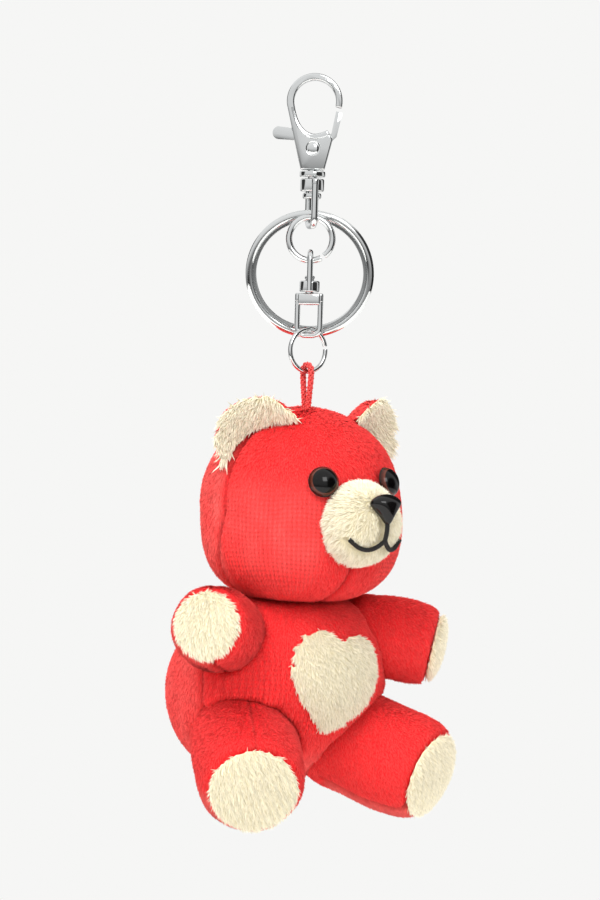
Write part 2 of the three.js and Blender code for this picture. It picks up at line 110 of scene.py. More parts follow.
def moveVerts(piece, shift):  # hand shaping: every point goes where the function says
    for point in piece.data.vertices:
        point.co = shift(point.co.copy())
    piece.data.update()


def outwards(piece):  # merges doubles and turns every face outwards
    makeActive(piece)
    bpy.ops.object.mode_set(mode="EDIT")
    bpy.ops.mesh.select_all(action="SELECT")
    bpy.ops.mesh.remove_doubles(threshold=0.00001)
    bpy.ops.mesh.normals_make_consistent(inside=False)
    bpy.ops.object.mode_set(mode="OBJECT")


def joined(pieces):  # several closed shapes become one piece
    nothingSelected()
    for piece in pieces:
        piece.select_set(True)
    bpy.context.view_layer.objects.active = pieces[0]
    bpy.ops.object.join()
    return pieces[0]


def smooth(piece, angle=40):
    makeActive(piece)
    bpy.ops.object.shade_smooth_by_angle(angle=math.radians(angle))


def finishPiece(piece, name, body, material, node):  # the piece stands for one CAD node
    piece.name = name
    piece.data.name = name
    piece.data.materials.clear()
    piece.data.materials.append(material)
    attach(piece, body)
    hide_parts(node)
    return piece


def placed(piece, at=(0, 0, 0), turn=(0, 0, 0)):  # in mm and degrees
    piece.rotation_euler = [math.radians(angle) for angle in turn]
    piece.location = [value * mm for value in at]
    settle(piece)
    return piece


# Turns a metal piece from the snap's own frame to the bear's frame
def finishMetal(piece, name, body, node, angle=40, material=None):
    smooth(piece, angle)
    piece.matrix_world = Matrix.Rotation(metalTurn, 4, "Z") @ piece.matrix_world
    settle(piece)
    return finishPiece(piece, name, body, material or chrome, node)


# Materials

def linearColour(hexText):
    values = [int(hexText[i:i + 2], 16) / 255 for i in (1, 3, 5)]
    lit = [v / 12.92 if v <= 0.04045 else ((v + 0.055) / 1.055) ** 2.4 for v in values]
    return (*lit, 1.0)


def plug(tree, node, values):  # a value is a number, a colour, a socket, or a node for its first output
    for name, value in values.items():
        if isinstance(name, int):
            socket = node.inputs[name]
        else:
            socket = next(s for s in node.inputs if s.name == name and s.enabled)
        if isinstance(value, bpy.types.Node):
            value = value.outputs[0]
        if isinstance(value, bpy.types.NodeSocket):
            tree.links.new(value, socket)
        else:
            socket.default_value = value


def addNode(tree, kind, values=None, **settings):
    node = tree.nodes.new(kind)
    for name, value in settings.items():
        setattr(node, name, value)
    plug(tree, node, values or {})
    return node


def newMaterial(name):
    material = bpy.data.materials.new(name)
    material.use_nodes = True
    tree = material.node_tree
    tree.nodes.clear()
    shader = addNode(tree, "ShaderNodeBsdfPrincipled")
    addNode(tree, "ShaderNodeOutputMaterial", {"Surface": shader})
    return material, tree, shader


# Object coordinates, with one unit for each so many mm
def objectPlace(tree, size, turn=(0, 0, 0), centre=(0, 0, 0)):
    place = addNode(tree, "ShaderNodeTexCoord").outputs["Object"]
    scale = 1 / (size * mm)
    middle = addNode(tree, "ShaderNodeVectorMath", {0: place, 1: centre}, operation="SUBTRACT")
    return addNode(tree, "ShaderNodeMapping", {"Vector": middle, "Scale": (scale,) * 3, "Rotation": turn})


# Soft noise of a size in mm, spread between two values
def cloudy(tree, size, low=0.0, high=1.0, detail=2.0):
    where = objectPlace(tree, size)
    grain = addNode(tree, "ShaderNodeTexNoise", {"Vector": where, "Scale": 1.0, "Detail": detail})
    return addNode(tree, "ShaderNodeMapRange", {"Value": grain, "To Min": low, "To Max": high})


# Bright nickel plate over cast zinc and drawn steel wire: a mirror with a trace of handling haze
def platedMetal(name, hexText, roughLow, roughHigh, dent):
    material, tree, shader = newMaterial(name)
    dents = addNode(tree, "ShaderNodeBump", {
        "Height": cloudy(tree, 1.6), "Distance": dent * mm, "Strength": 1.0,
    })
    plug(tree, shader, {
        "Base Color": linearColour(hexText), "Metallic": 1.0,
        "Roughness": cloudy(tree, 3.0, roughLow, roughHigh, 3.0), "Normal": dents,
    })
    return material


# Knitted velour or tufted pile: darker at the roots and in the seams, as painted shade under the tufts and in
# the seam grooves; paler where it is rubbed, and paler on the backs of the head and body as painted sheen;
# and each tuft a little different. Where the nap is short, the rows and columns of the knitted backing show
# through it as painted shade in the grooves between them. The tufts share the skin's slope, so they shade as
# one nap.
def plush(name, look, combed=True):
    material, tree, shader = newMaterial(name)

    def mark(label, output="Fac"):
        return addNode(tree, "ShaderNodeAttribute", attribute_name=label).outputs[output]

    def between(value, low, high):
        return addNode(tree, "ShaderNodeMapRange", {"Value": value, "To Min": low, "To Max": high})

    # Painted shade: the root colour is darker than the tip colour, for the shade that falls under the tufts.
    body = addNode(tree, "ShaderNodeMix", {
        0: mark("tip"), 6: linearColour(look["root"]), 7: linearColour(look["tip"]),
    }, data_type="RGBA")
    # Paler where the pile is rubbed, and paler on the backs of the head and body as painted sheen.
    wearAndSheenColour = addNode(tree, "ShaderNodeMix", {
        0: between(mark("wearAndSheen"), 0, look["wearAndSheenAmount"]), 6: body.outputs[2], 7: linearColour(look["wearAndSheen"]),
    }, data_type="RGBA")
    shades = [
        between(mark("tuftShade"), 1 - look["variety"], 1 + look["variety"] * 0.6),
        # Painted shade: the colour darkens along the seams, where the groove lies in shade.
        between(mark("seamGrooveShade"), 1, look["seam"]),
    ]
    nap = addNode(tree, "ShaderNodeSeparateXYZ", {"Vector": mark("nap", "Vector")}).outputs
    # Painted shade: the knit's rows and columns, darker in the grooves between them, where the nap is short.
    waves = []
    for k in (0, 1):
        phase = addNode(tree, "ShaderNodeMath", {0: nap[k], 1: 2 * math.pi}, operation="MULTIPLY")
        waves.append(addNode(tree, "ShaderNodeMath", {0: phase}, operation="COSINE"))
    knitGrooveShade = addNode(tree, "ShaderNodeMath", {0: waves[0], 1: waves[1]}, operation="ADD")
    shown = addNode(tree, "ShaderNodeMath", {0: knitGrooveShade, 1: nap[2]}, operation="MULTIPLY")
    shades.append(addNode(tree, "ShaderNodeMath", {
        0: shown, 1: look["rows"], 2: 1.0,
    }, operation="MULTIPLY_ADD"))
    level = cloudy(tree, look["patch"], 1 - look["mottle"], 1 + look["mottle"])
    for shade in shades:
        level = addNode(tree, "ShaderNodeMath", {0: level, 1: shade}, operation="MULTIPLY")
    colour = addNode(tree, "ShaderNodeVectorMath", {
        0: wearAndSheenColour.outputs[2], "Scale": level,
    }, operation="SCALE")
    plug(tree, shader, {
        "Base Color": colour, "Roughness": 0.9, "Specular IOR Level": 0.12,
        "Sheen Weight": look["sheen"], "Sheen Roughness": 0.4, "Sheen Tint": linearColour(look["sheenTint"]),
    })
    if combed:
        turned = addNode(
            tree, "ShaderNodeVectorTransform", {"Vector": mark("skinNormal", "Vector")},
            vector_type="NORMAL", convert_from="OBJECT", convert_to="WORLD",
        )
        ownNormal = addNode(tree, "ShaderNodeNewGeometry").outputs["Normal"]
        some = addNode(tree, "ShaderNodeVectorMath", {
            0: ownNormal, "Scale": look["ownSlope"],
        }, operation="SCALE")
        both = addNode(tree, "ShaderNodeVectorMath", {0: turned, 1: some}, operation="ADD")
        even = addNode(tree, "ShaderNodeVectorMath", {0: both}, operation="NORMALIZE")
        plug(tree, shader, {"Normal": even})
    return material


# Polyester yarn, twisted or braided: the fibres run slantwise and catch the light in short pale dashes
def yarn(name, lowHex, highHex, fibre, sheen):
    material, tree, shader = newMaterial(name)
    where = objectPlace(tree, fibre, (0.5, 0.7, 0.3))
    wave = addNode(tree, "ShaderNodeTexWave", {"Vector": where, "Scale": 1.0, "Distortion": 3.0})
    strands = wave.outputs["Fac"]
    twist = addNode(tree, "ShaderNodeMix", {
        0: strands, 6: linearColour(lowHex), 7: linearColour(highHex),
    }, data_type="RGBA")
    raised = addNode(tree, "ShaderNodeBump", {"Height": strands, "Distance": 0.03 * mm, "Strength": 1.0})
    plug(tree, shader, {
        "Base Color": twist.outputs[2], "Roughness": 0.55, "Sheen Weight": sheen, "Normal": raised,
    })
    return material


# Injection moulded acrylic, polished: nearly black, with a faint waviness that bends the highlights
def polishedPlastic(name, hexText, rough=0.1):
    material, tree, shader = newMaterial(name)
    base = linearColour(hexText)
    paler = tuple(min(1.0, c * 1.5 + 0.002) for c in base[:3]) + (1.0,)
    cloud = addNode(tree, "ShaderNodeMix", {0: cloudy(tree, 4.0), 6: base, 7: paler}, data_type="RGBA")
    wavy = addNode(tree, "ShaderNodeBump", {
        "Height": cloudy(tree, 5.0), "Distance": 0.02 * mm, "Strength": 1.0,
    })
    plug(tree, shader, {
        "Base Color": cloud.outputs[2], "Roughness": rough, "Specular IOR Level": 0.35, "Normal": wavy,
    })
    return material


# A two-colour safety eye: a black pupil in an amber ring, under clear plastic
def eyePlastic(name, centre, axis, look):
    material, tree, shader = newMaterial(name)
    turn = axis.to_track_quat("Z", "Y").inverted().to_euler()
    spot = objectPlace(tree, 1.0, tuple(turn), tuple(centre))
    flat = addNode(tree, "ShaderNodeVectorMath", {0: spot, 1: (1, 1, 0)}, operation="MULTIPLY")
    reach = addNode(tree, "ShaderNodeVectorMath", {0: flat}, operation="LENGTH").outputs["Value"]
    part = addNode(tree, "ShaderNodeMapRange", {"Value": reach, "From Max": look["radius"]})
    ramp = addNode(tree, "ShaderNodeValToRGB", {"Fac": part})
    stops = ramp.color_ramp.elements
    stops[0].position, stops[0].color = look["pupil"], linearColour("#050404")
    stops[1].position, stops[1].color = look["pupil"] + 0.04, linearColour(look["amber"])
    for position, hexText in ((0.93, look["amberEdge"]), (0.98, "#120804")):
        stops.new(position).color = linearColour(hexText)
    grain = cloudy(tree, 0.8, 0.85, 1.15, 4.0)
    plug(tree, shader, {
        "Base Color": addNode(tree, "ShaderNodeVectorMath", {0: ramp, "Scale": grain}, operation="SCALE"),
        "Roughness": 0.13, "Specular IOR Level": 0.3,
    })
    return material


# The root colour holds painted shade under the tufts. The paler rubbed colour is wear and painted sheen. The
# seam and rows settings darken the seam grooves and the knit's grooves with painted shade.
coralLook = {
    "root": "#F22A2E", "tip": "#FF5552", "wearAndSheen": "#F4706A", "wearAndSheenAmount": 0.75, "patch": 9.0, "mottle": 0.06,
    "variety": 0.1, "rows": 0.13, "seam": 0.5, "sheen": 0.12, "sheenTint": "#FF8C84", "ownSlope": 0.6,
}
creamLook = {
    "root": "#E1D7B6", "tip": "#FBF5E2", "wearAndSheen": "#F0ECCC", "wearAndSheenAmount": 0.5, "patch": 5.0, "mottle": 0.04,
    "variety": 0.15, "rows": 0.06, "seam": 0.8, "sheen": 0.1, "sheenTint": "#FFFFFF", "ownSlope": 1.2,
}
fillLook = {
    "root": "#EDECE8", "tip": "#F7F7F4", "wearAndSheen": "#EDECE8", "wearAndSheenAmount": 0.0, "patch": 5.0, "mottle": 0.04,
    "variety": 0.0, "rows": 0.0, "seam": 1.0, "sheen": 0.3, "sheenTint": "#FFFFFF",
}
chrome = platedMetal("nickelPlate", "#D6D8D8", 0.03, 0.09, 0.006)
springSteel = platedMetal("drawnSpringSteel", "#A9ABAD", 0.22, 0.36, 0.01)
coralPlush = plush("coralVelour", coralLook)
creamPlush = plush("creamTuftedPile", creamLook)
fibreFill = plush("polyesterFill", fillLook, combed=False)
coralYarn = yarn("coralBraidYarn", "#B8161C", "#F4605A", 0.5, 0.1)
blackYarn = yarn("blackStitchThread", "#020202", "#0E0C0C", 0.3, 0.0)
nosePlastic = polishedPlastic("blackAcrylic", "#050404")
washerPlastic = polishedPlastic("naturalPolypropylene", "#D9D8D0", 0.45)
print("materials ready")


# Stage, camera and light

view = {
    "azimuth": -35.0, "elevation": 1.0, "roll": 1.5, "distance": 0.95, "sensor": 36.0,
    "frameHeight": 209.8 * mm, "height": -86.1 * mm,
    "side": 1.2 * mm,  # the hanging line stands this far to the right of the middle
}


def buildCamera():
    back = wayTo(view["azimuth"], view["elevation"])
    across = wayTo(view["azimuth"] + 90, 0)
    target = Vector((0, 0, view["height"])) - across * view["side"]
    bpy.ops.object.camera_add(location=target + back * view["distance"])
    camera = bpy.context.object
    camera.rotation_mode = "QUATERNION"
    upright = (-back).to_track_quat("-Z", "Y")
    camera.rotation_quaternion = Quaternion(back, math.radians(view["roll"])) @ upright
    camera.data.sensor_width = view["sensor"]
    camera.data.lens = view["sensor"] * view["distance"] / view["frameHeight"]
    camera.data.clip_start = 0.01
    bpy.context.scene.camera = camera


lamps = [  # name, azimuth, elevation, distance, size, power in watts, whether it shows in mirrors
    ("keyLight", -72, 44, 0.75, 0.46, 5.2, False),
    ("frontLight", -14, 30, 0.80, 0.34, 1.9, True),
    ("topLight", 150, 62, 0.70, 0.45, 1.8, False),
]


def wayTo(azimuth, elevation):
    a, e = math.radians(azimuth), math.radians(elevation)
    return Vector((math.sin(a) * math.cos(e), -math.cos(a) * math.cos(e), math.sin(e)))


def buildLamps():
    aim = Vector((0, 0, -0.1))
    for name, azimuth, elevation, distance, size, power, mirrored in lamps:
        back = wayTo(azimuth, elevation)
        bpy.ops.object.light_add(type="AREA", location=aim + back * distance)
        lamp = bpy.context.object
        lamp.name = name
        lamp.data.energy = power
        lamp.data.size = size
        lamp.visible_glossy = mirrored
        lamp.rotation_mode = "QUATERNION"
        lamp.rotation_quaternion = (-back).to_track_quat("-Z", "Y")


# Plain bright studio. Cloth is lit evenly from all round, and mirrors see dark cards and a darker floor.
studio = {
    "ambient": (0.92, 0.9, 0.88, 1), "low": 0.2, "level": 0.86, "high": 1.05, "cardShade": 0.05,
    "backdrop": "#F6F6F5", "floorZ": -0.27, "floorRadius": 0.5,
}
studio["cards"] = [  # azimuth, elevation, half angle and edge in degrees
    (32, 4, 27, 10), (118, 30, 30, 10), (-132, 12, 20, 8), (-60, -48, 24, 14),
]


def buildWorld():
    world = bpy.data.worlds.new("studio")
    bpy.context.scene.world = world
    world.use_nodes = True
    tree = world.node_tree
    tree.nodes.clear()
    rays = addNode(tree, "ShaderNodeLightPath").outputs
    way = addNode(tree, "ShaderNodeTexCoord").outputs["Generated"]
    parts = addNode(tree, "ShaderNodeSeparateXYZ", {"Vector": way})
    height = addNode(tree, "ShaderNodeMapRange", {"Value": parts.outputs[2], "From Min": -1.0})
    rise = addNode(tree, "ShaderNodeValToRGB", {"Fac": height})
    low, high = rise.color_ramp.elements
    low.position, low.color = 0.3, (studio["low"],) * 3 + (1,)
    high.position, high.color = 0.8, (studio["high"],) * 3 + (1,)
    middle = rise.color_ramp.elements.new(0.5)
    middle.color = (studio["level"],) * 3 + (1,)
    mirrored = rise.outputs[0]
    for azimuth, elevation, half, edge in studio["cards"]:
        toCard = addNode(tree, "ShaderNodeVectorMath", {
            0: way, 1: wayTo(azimuth, elevation),
        }, operation="DOT_PRODUCT")
        card = addNode(tree, "ShaderNodeMapRange", {
            "Value": toCard.outputs["Value"], "From Min": math.cos(math.radians(half + edge)),
            "From Max": math.cos(math.radians(half)), "To Min": 1.0, "To Max": studio["cardShade"],
        })
        mirrored = addNode(tree, "ShaderNodeMix", {
            0: 1.0, 6: mirrored, 7: card,
        }, data_type="RGBA", blend_type="MULTIPLY").outputs[2]
    lit = addNode(tree, "ShaderNodeMix", {
        0: rays["Is Diffuse Ray"], 6: mirrored, 7: studio["ambient"],
    }, data_type="RGBA")
    seen = addNode(tree, "ShaderNodeMix", {
        0: rays["Is Camera Ray"], 6: lit.outputs[2], 7: linearColour(studio["backdrop"]),
    }, data_type="RGBA")
    shader = addNode(tree, "ShaderNodeBackground", {"Color": seen.outputs[2], "Strength": 1.0})
    addNode(tree, "ShaderNodeOutputWorld", {"Surface": shader})


def buildFloor():
    bpy.ops.mesh.primitive_circle_add(
        vertices=96, radius=studio["floorRadius"], fill_type="NGON", location=(0, 0, studio["floorZ"]),
    )
    floor = bpy.context.object
    floor.name = "floor"
    settle(floor)
    material, tree, shader = newMaterial("paleFloor")
    cloud = addNode(tree, "ShaderNodeMix", {
        0: cloudy(tree, 120.0), 6: linearColour("#F0F0EE"), 7: linearColour(studio["backdrop"]),
    }, data_type="RGBA")
    plug(tree, shader, {"Base Color": cloud.outputs[2], "Roughness": 0.7})
    floor.data.materials.append(material)


nothingSelected()
bpy.context.scene.view_settings.view_transform = "Standard"
buildCamera()
buildLamps()
buildWorld()
buildFloor()
print("stage ready")


# Snap hook, rings and swivel

hook = {
    "centreZ": -4.9, "outerRadius": 6.5, "innerRadius": 4.85, "thickness": 3.6, "slot": 2.0,
    "baseZ": -20.9, "tipAngle": -14, "sideAngle": 188, "edgeBevel": 0.72, "lip": 0.24, "rivetZ": -15.9,
}


def arcPoints(cx, cz, radius, start, end, count):
    angles = [math.radians(start + (end - start) * i / (count - 1)) for i in range(count)]
    return [(cx + radius * math.cos(a), cz + radius * math.sin(a)) for a in angles]


def curvePoints(p0, p1, p2, count):  # a quadratic curve without its first point
    points = []
    for i in range(count):
        t = (i + 1) / count
        points.append(tuple((1 - t) ** 2 * p0[k] + 2 * t * (1 - t) * p1[k] + t * t * p2[k] for k in (0, 1)))
    return points


def plate(name, outline, thickness):  # a flat plate standing in the XZ plane
    bpy.ops.mesh.primitive_circle_add(vertices=len(outline), radius=0.01, fill_type="NGON")
    piece = bpy.context.object
    piece.name = name
    for point, (x, z) in zip(piece.data.vertices, outline):
        point.co = (x * mm, -thickness / 2 * mm, z * mm)
    makeActive(piece)
    bpy.ops.object.mode_set(mode="EDIT")
    bpy.ops.mesh.select_all(action="SELECT")
    bpy.ops.mesh.extrude_region_move(TRANSFORM_OT_translate={"value": (0, thickness * mm, 0)})
    bpy.ops.object.mode_set(mode="OBJECT")
    outwards(piece)
    return piece


def cutWith(piece, tool, how="DIFFERENCE"):
    modify(piece, "BOOLEAN", object=tool, operation=how, solver="EXACT")
    bpy.data.objects.remove(tool)


def barrel(low, high, radius, at=(0, 0), bevel=0.25, sides=48):  # a drum standing on Z
    size = (high - low) * mm
    place = (at[0] * mm, at[1] * mm, (high + low) / 2 * mm)
    bpy.ops.mesh.primitive_cylinder_add(vertices=sides, radius=radius * mm, depth=size, location=place)
    piece = bpy.context.object
    settle(piece)
    if bevel:
        modify(piece, "BEVEL", width=bevel * mm, segments=3, limit_method="ANGLE")
    return piece


def boxPiece(low, high, bevel=0.0):
    middle = [(a + b) / 2 * mm for a, b in zip(low, high)]
    bpy.ops.mesh.primitive_cube_add(size=1, location=middle)
    piece = bpy.context.object
    piece.scale = [(b - a) * mm for a, b in zip(low, high)]
    settle(piece)
    if bevel:
        modify(piece, "BEVEL", width=bevel * mm, segments=3)
    return piece


def buildHook():
    c = hook["centreZ"]
    inner = arcPoints(0.2, c, hook["innerRadius"], hook["tipAngle"], hook["sideAngle"], 44)
    outer = arcPoints(0.1, c, hook["outerRadius"], hook["sideAngle"], hook["tipAngle"], 56)
    saddle = curvePoints(inner[-1], (-3.6, -12.2), (0.2, -12.5), 16)
    saddle += curvePoints((0.2, -12.5), (1.8, -12.4), (3.2, -11.5), 8)
    outline = [(-2.75, hook["baseZ"])] + outer + inner + saddle + [(4.5, -13.7), (2.75, hook["baseZ"])]
    body = plate("hook", outline, hook["thickness"])
    modify(
        body, "BEVEL", width=hook["edgeBevel"] * mm, segments=3, limit_method="ANGLE",
        angle_limit=math.radians(50),
    )
    cutWith(body, boxPiece((-15, -hook["slot"] / 2, -19.3), (15, hook["slot"] / 2, -10.7)))
    cutWith(body, barrel(-22, -19.6, 1.4, bevel=0))
    for side in (-1, 1):  # a rolled lip round the opening's lower edge
        run = [(x * 1.16 + 0.1, side * (hook["thickness"] / 2 - 0.06), (z + 6) * 1.16 - 6) for x, z in saddle]
        body = joined([body, wire(run, hook["lip"], sides=3)])
    finishMetal(body, "hook_body_cast", "clasp", "hook_body", 35)


def buildRivet():
    half = hook["thickness"] / 2
    parts = []
    for side in (-1, 1):
        bpy.ops.mesh.primitive_cylinder_add(vertices=48, radius=1.75 * mm, depth=0.5 * mm)
        head = bpy.context.object
        editSelected(head, lambda p: p.z > 0)
        bpy.ops.mesh.select_mode(type="FACE")
        for step, rise in ((0.35, -0.22), (0.30, 0.20), (0.25, 0.10)):
            bpy.ops.mesh.inset(thickness=step * mm, depth=rise * mm)
        editDone()
        parts.append(placed(head, (0, side * (half + 0.55), hook["rivetZ"]), (-90 * side, 0, 0)))
    shaft = placed(barrel(-2.1, 2.1, 0.8, bevel=0), (0, 0, hook["rivetZ"]), (90, 0, 0))
    rivet = joined([*parts, shaft])
    outwards(rivet)
    modify(rivet, "BEVEL", width=0.07 * mm, segments=2, limit_method="ANGLE")
    finishMetal(rivet, "pivot_rivet_peened", "clasp", "pivot_rivet")


def buildLever():
    tab = arcPoints(-8.0, -12.4, 1.5, -100, -260, 20)
    saddle = curvePoints((-3.0, -11.4), (0.6, -13.6), (3.0, -13.4), 10)
    hub = arcPoints(0, hook["rivetZ"], 2.0, -12, -150, 20)
    gate = [(4.2, -12.2), (5.15, -7.1), (6.6, -7.5), (5.4, -13.0), (2.0, -16.4)]
    outline = [(-1.7, -14.1)] + tab + [(-3.0, -11.4)] + saddle + gate + hub
    lever = plate("lever", outline, 1.4)
    modify(lever, "BEVEL", width=0.16 * mm, segments=2, limit_method="ANGLE", angle_limit=math.radians(50))
    finishMetal(lever, "trigger_gate_stamped", "trigger", "trigger_gate", 35)


def wire(points, radius, cyclic=False, sides=6, ends=True):  # a round wire through given points, in mm
    bpy.ops.curve.primitive_nurbs_path_add()
    path = bpy.context.object
    path.data.splines.clear()
    spline = path.data.splines.new("POLY")
    spline.points.add(len(points) - 1)
    for knot, point in zip(spline.points, points):
        knot.co = (*[c * mm for c in point], 1)
    spline.use_cyclic_u = cyclic
    path.data.dimensions = "3D"
    path.data.bevel_depth = radius * mm
    path.data.bevel_resolution = sides
    path.data.use_fill_caps = ends and not cyclic
    makeActive(path)
    bpy.ops.object.convert(target="MESH")
    piece = bpy.context.object
    settle(piece)
    outwards(piece)
    return piece


def wireU(halfWidth, top, low, corner, steps=12):  # a U in the YZ plane, from one top round to the other
    def turn(sign, start, end):
        angles = [math.radians(start + (end - start) * i / steps) for i in range(steps + 1)]
        y, z = sign * (halfWidth - corner), low + corner
        return [(0, y + corner * math.cos(a), z + corner * math.sin(a)) for a in angles]

    return [(0, -halfWidth, top)] + turn(-1, 180, 270) + turn(1, 270, 360) + [(0, halfWidth, top)]


def centreOf(node):
    low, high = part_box(node)
    return [(a + b) / 2 / mm for a, b in zip(low, high)]


def buildClaspSwivel():
    post = joined([
        barrel(-22.5, -21.2, 3.0), barrel(-26.4, -20.0, 1.1, bevel=0), barrel(-27.6, -26.2, 2.2, bevel=0.45),
    ])
    finishMetal(post, "swivel_post_peened", "clasp", "swivel_post")

    drumPart = barrel(-25.9, -22.9, 2.8, bevel=0.4)
    cutWith(drumPart, barrel(-27, -22, 1.4, bevel=0))
    loop = wire(wireU(3.5, -23.3, -33.8, 2.0), 0.8)
    tops = [barrel(-24.6, -22.9, 0.85, (0, side * 3.45), bevel=0.4, sides=24) for side in (-1, 1)]
    eye = placed(joined([drumPart, loop, *tops]), turn=(0, 0, 12))
    finishMetal(eye, "swivel_eye_cast", "clasp_eye", "swivel_eye")


def splitRing(outer, wireRadius, split, width, at, turn):  # a round wire with a narrow split, standing in XZ
    count = 96
    start, end = split + width / 2, split - width / 2 + 360
    angles = [math.radians(start + (end - start) * i / count) for i in range(count + 1)]
    r = outer - wireRadius
    ring = wire([(r * math.cos(a), 0, r * math.sin(a)) for a in angles], wireRadius)
    modify(ring, "BEVEL", width=0.15 * mm, segments=2, limit_method="ANGLE", angle_limit=math.radians(60))
    smooth(ring)
    return placed(ring, at, (0, 0, math.degrees(turn)))


# Two turns of flat wire: a domed outer band and a thinner inner ledge, swept by a screw modifier
keyRing = {"middle": 13.75, "pitch": 1.2, "turns": 1.97, "start": 72, "lean": 10}
keyRing["section"] = [  # one face of the wire, across its width from the inside out
    (-1.25, 0.10), (-1.15, 0.24), (-0.62, 0.26), (-0.5, 0.12), (-0.36, 0.3), (-0.1, 0.41), (0.3, 0.46),
    (0.7, 0.4), (1.05, 0.24), (1.25, 0.05),
]


def buildKeyRing():
    upper = keyRing["section"]
    whole = upper + [(x, -y) for x, y in reversed(upper)]
    bpy.ops.mesh.primitive_circle_add(vertices=len(whole), radius=0.01)
    section = bpy.context.object
    drift = keyRing["pitch"] * keyRing["turns"]
    for point, (x, y) in zip(section.data.vertices, whole):
        point.co = ((x + keyRing["middle"]) * mm, (y - drift / 2) * mm, 0)
    modify(
        section, "SCREW", axis="Y", angle=-math.radians(360 * keyRing["turns"]), screw_offset=drift * mm,
        steps=190, render_steps=190, use_smooth_shade=True,
    )
    editSelected(section, lambda p: False)
    bpy.ops.mesh.select_non_manifold()
    bpy.ops.mesh.edge_face_add()
    editDone()
    outwards(section)
    return placed(section, turn=(0, -keyRing["start"], 0))


def buildRings():
    coil = placed(buildKeyRing(), (0, 0, -12.5))  # its top rim goes to the origin, and it leans about that
    coil = placed(coil, (0, 1.2, -32.6), (keyRing["lean"], 0, 0))
    finishMetal(coil, "key_ring_flat", "key_ring", "key_ring")

    jump = splitRing(5.8, 0.75, -55, 10, centreOf("upper_jump_ring"), metalTurn)
    finishPiece(jump, "upper_jump_ring_wire", "jump_ring", chrome, "upper_jump_ring")
    small = splitRing(5.5, 0.54, 8, 8, centreOf("lower_ring"), 0)
    finishPiece(small, "lower_ring_wire", "lower_ring", chrome, "lower_ring")


def buildConnector():
    shift = (0, -1.5, 0)
    drumPart = barrel(-49.3, -46.7, 2.35, bevel=0.35)
    cutWith(drumPart, barrel(-50, -46, 1.3, bevel=0))
    lowZ = joints["connector_tilt"]["pos_m"][2] / mm
    arch = [(0, y, 2 * lowZ - z) for _, y, z in wireU(1.9, 2 * lowZ + 48.9, lowZ - 1.9, 1.9)]
    eye = placed(joined([drumPart, wire(arch, 0.68)]), shift)
    finishMetal(eye, "connector_eye_cast", "connector_top", "connector_eye")

    rivet = placed(joined([barrel(-46.4, -45.5, 1.2, bevel=0.4), barrel(-52.0, -46.1, 1.0, bevel=0)]), shift)
    finishMetal(rivet, "connector_rivet_bead", "connector_low", "connector_rivet")

    block = boxPiece((-2.6, -1.7, -52.3), (2.6, 1.7, -49.6), bevel=0.45)
    cutWith(block, barrel(-52.4, -49.0, 1.3, bevel=0))
    loop = placed(wire(wireU(2.65, -49.9, -59.4, 1.9), 0.63), turn=(0, 0, 90))
    tops = [barrel(-51.6, -49.6, 0.7, (side * 2.6, 0), bevel=0.3, sides=24) for side in (-1, 1)]
    frameU = placed(joined([block, loop, *tops]), shift)
    finishMetal(frameU, "connector_frame_bent", "connector_low", "connector_frame")


def buildSpring():
    turns, steps = 5, 24
    low, high, radius = -18.8, -15.0, 0.4
    points = []
    for i in range(turns * steps + 1):
        a = 2 * math.pi * i / steps
        z = low + (high - low) * i / (turns * steps)
        points.append((-2.75 + radius * math.cos(a), radius * math.sin(a), z))
    coil = wire(points, 0.13, sides=2)
    finishMetal(coil, "gate_spring_coil", "clasp", "gate_spring", 40, springSteel)


buildHook()
buildRivet()
buildLever()
buildSpring()
buildClaspSwivel()
buildRings()
buildConnector()
print("metal parts ready")


# Plush shapes

# Middles and half sizes in mm, and how firmly each cover is filled. The head is fuller low down.
head = {
    "at": Vector((0, 1.2, -98.6)), "radii": Vector((23.3, 22.9, 22.5)), "jowl": 3.0,
    "seamY": -1.0, "fill": 0.85,
    "cheek": Vector((12.0, -12.0, -108.5)), "puff": 0.9, "brow": Vector((0, -20.5, -93.5)), "browDip": 0.7,
}
muzzle = {"at": Vector((0, -21.8, -102.1)), "radii": Vector((9.2, 9.9, 9.3)), "fill": 0.8}
torso = {
    "at": Vector((0, 10.2, -141.2)), "radii": Vector((25.2, 24.9, 23.4)), "lean": -0.2,
    "seamY": 6.0, "fill": 0.85,
}
limbs = {
    "arm": {
        "root": (19.3, 1.2, -128.6), "tip": (31.9, -8.8, -129.0), "raise": 2.9,
        "rootR": 8.4, "tipR": 9.7, "padR": 8.0, "pad": "paw_pad", "seam": 10, "wearAndSheenAmount": 0.3,
    },
    "leg": {
        "root": (14.3, 1.2, -153.6), "tip": (24.7, -18.2, -161.8), "raise": -0.8,
        "rootR": 12.2, "tipR": 12.3, "padR": 10.4, "pad": "sole_pad", "seam": 38, "wearAndSheenAmount": 0.9,
    },
}
cloth = {
    "voxel": 1.4, "wall": 0.9, "swell": 0.9, "grow": 20.0, "pressure": 4.0, "steps": 14,
    "groove": 1.1, "grooveWide": 0.7, "lumps": 0.35, "lumpSize": 9.0,
}


def ball(radii, at, wide=72, high=48):
    bpy.ops.mesh.primitive_uv_sphere_add(segments=wide, ring_count=high, radius=mm)
    piece = bpy.context.object
    piece.scale = radii
    piece.location = [c * mm for c in at]
    settle(piece)
    return piece


def insideOf(p, shape, grow=0.0):  # below 1 inside an ellipsoid, above 1 outside; p in mm
    q = p - shape["at"]
    r = shape["radii"]
    flat = math.hypot(q.x / (r.x + grow), q.y / (r.y + grow))
    high = abs(q.z) / (r.z + grow)
    power = shape.get("jowl", 2.0) if q.z < 0 else 2.0  # a power over 2 is fuller low down, towards a barrel
    return (flat ** power + high ** power) ** (1 / power)


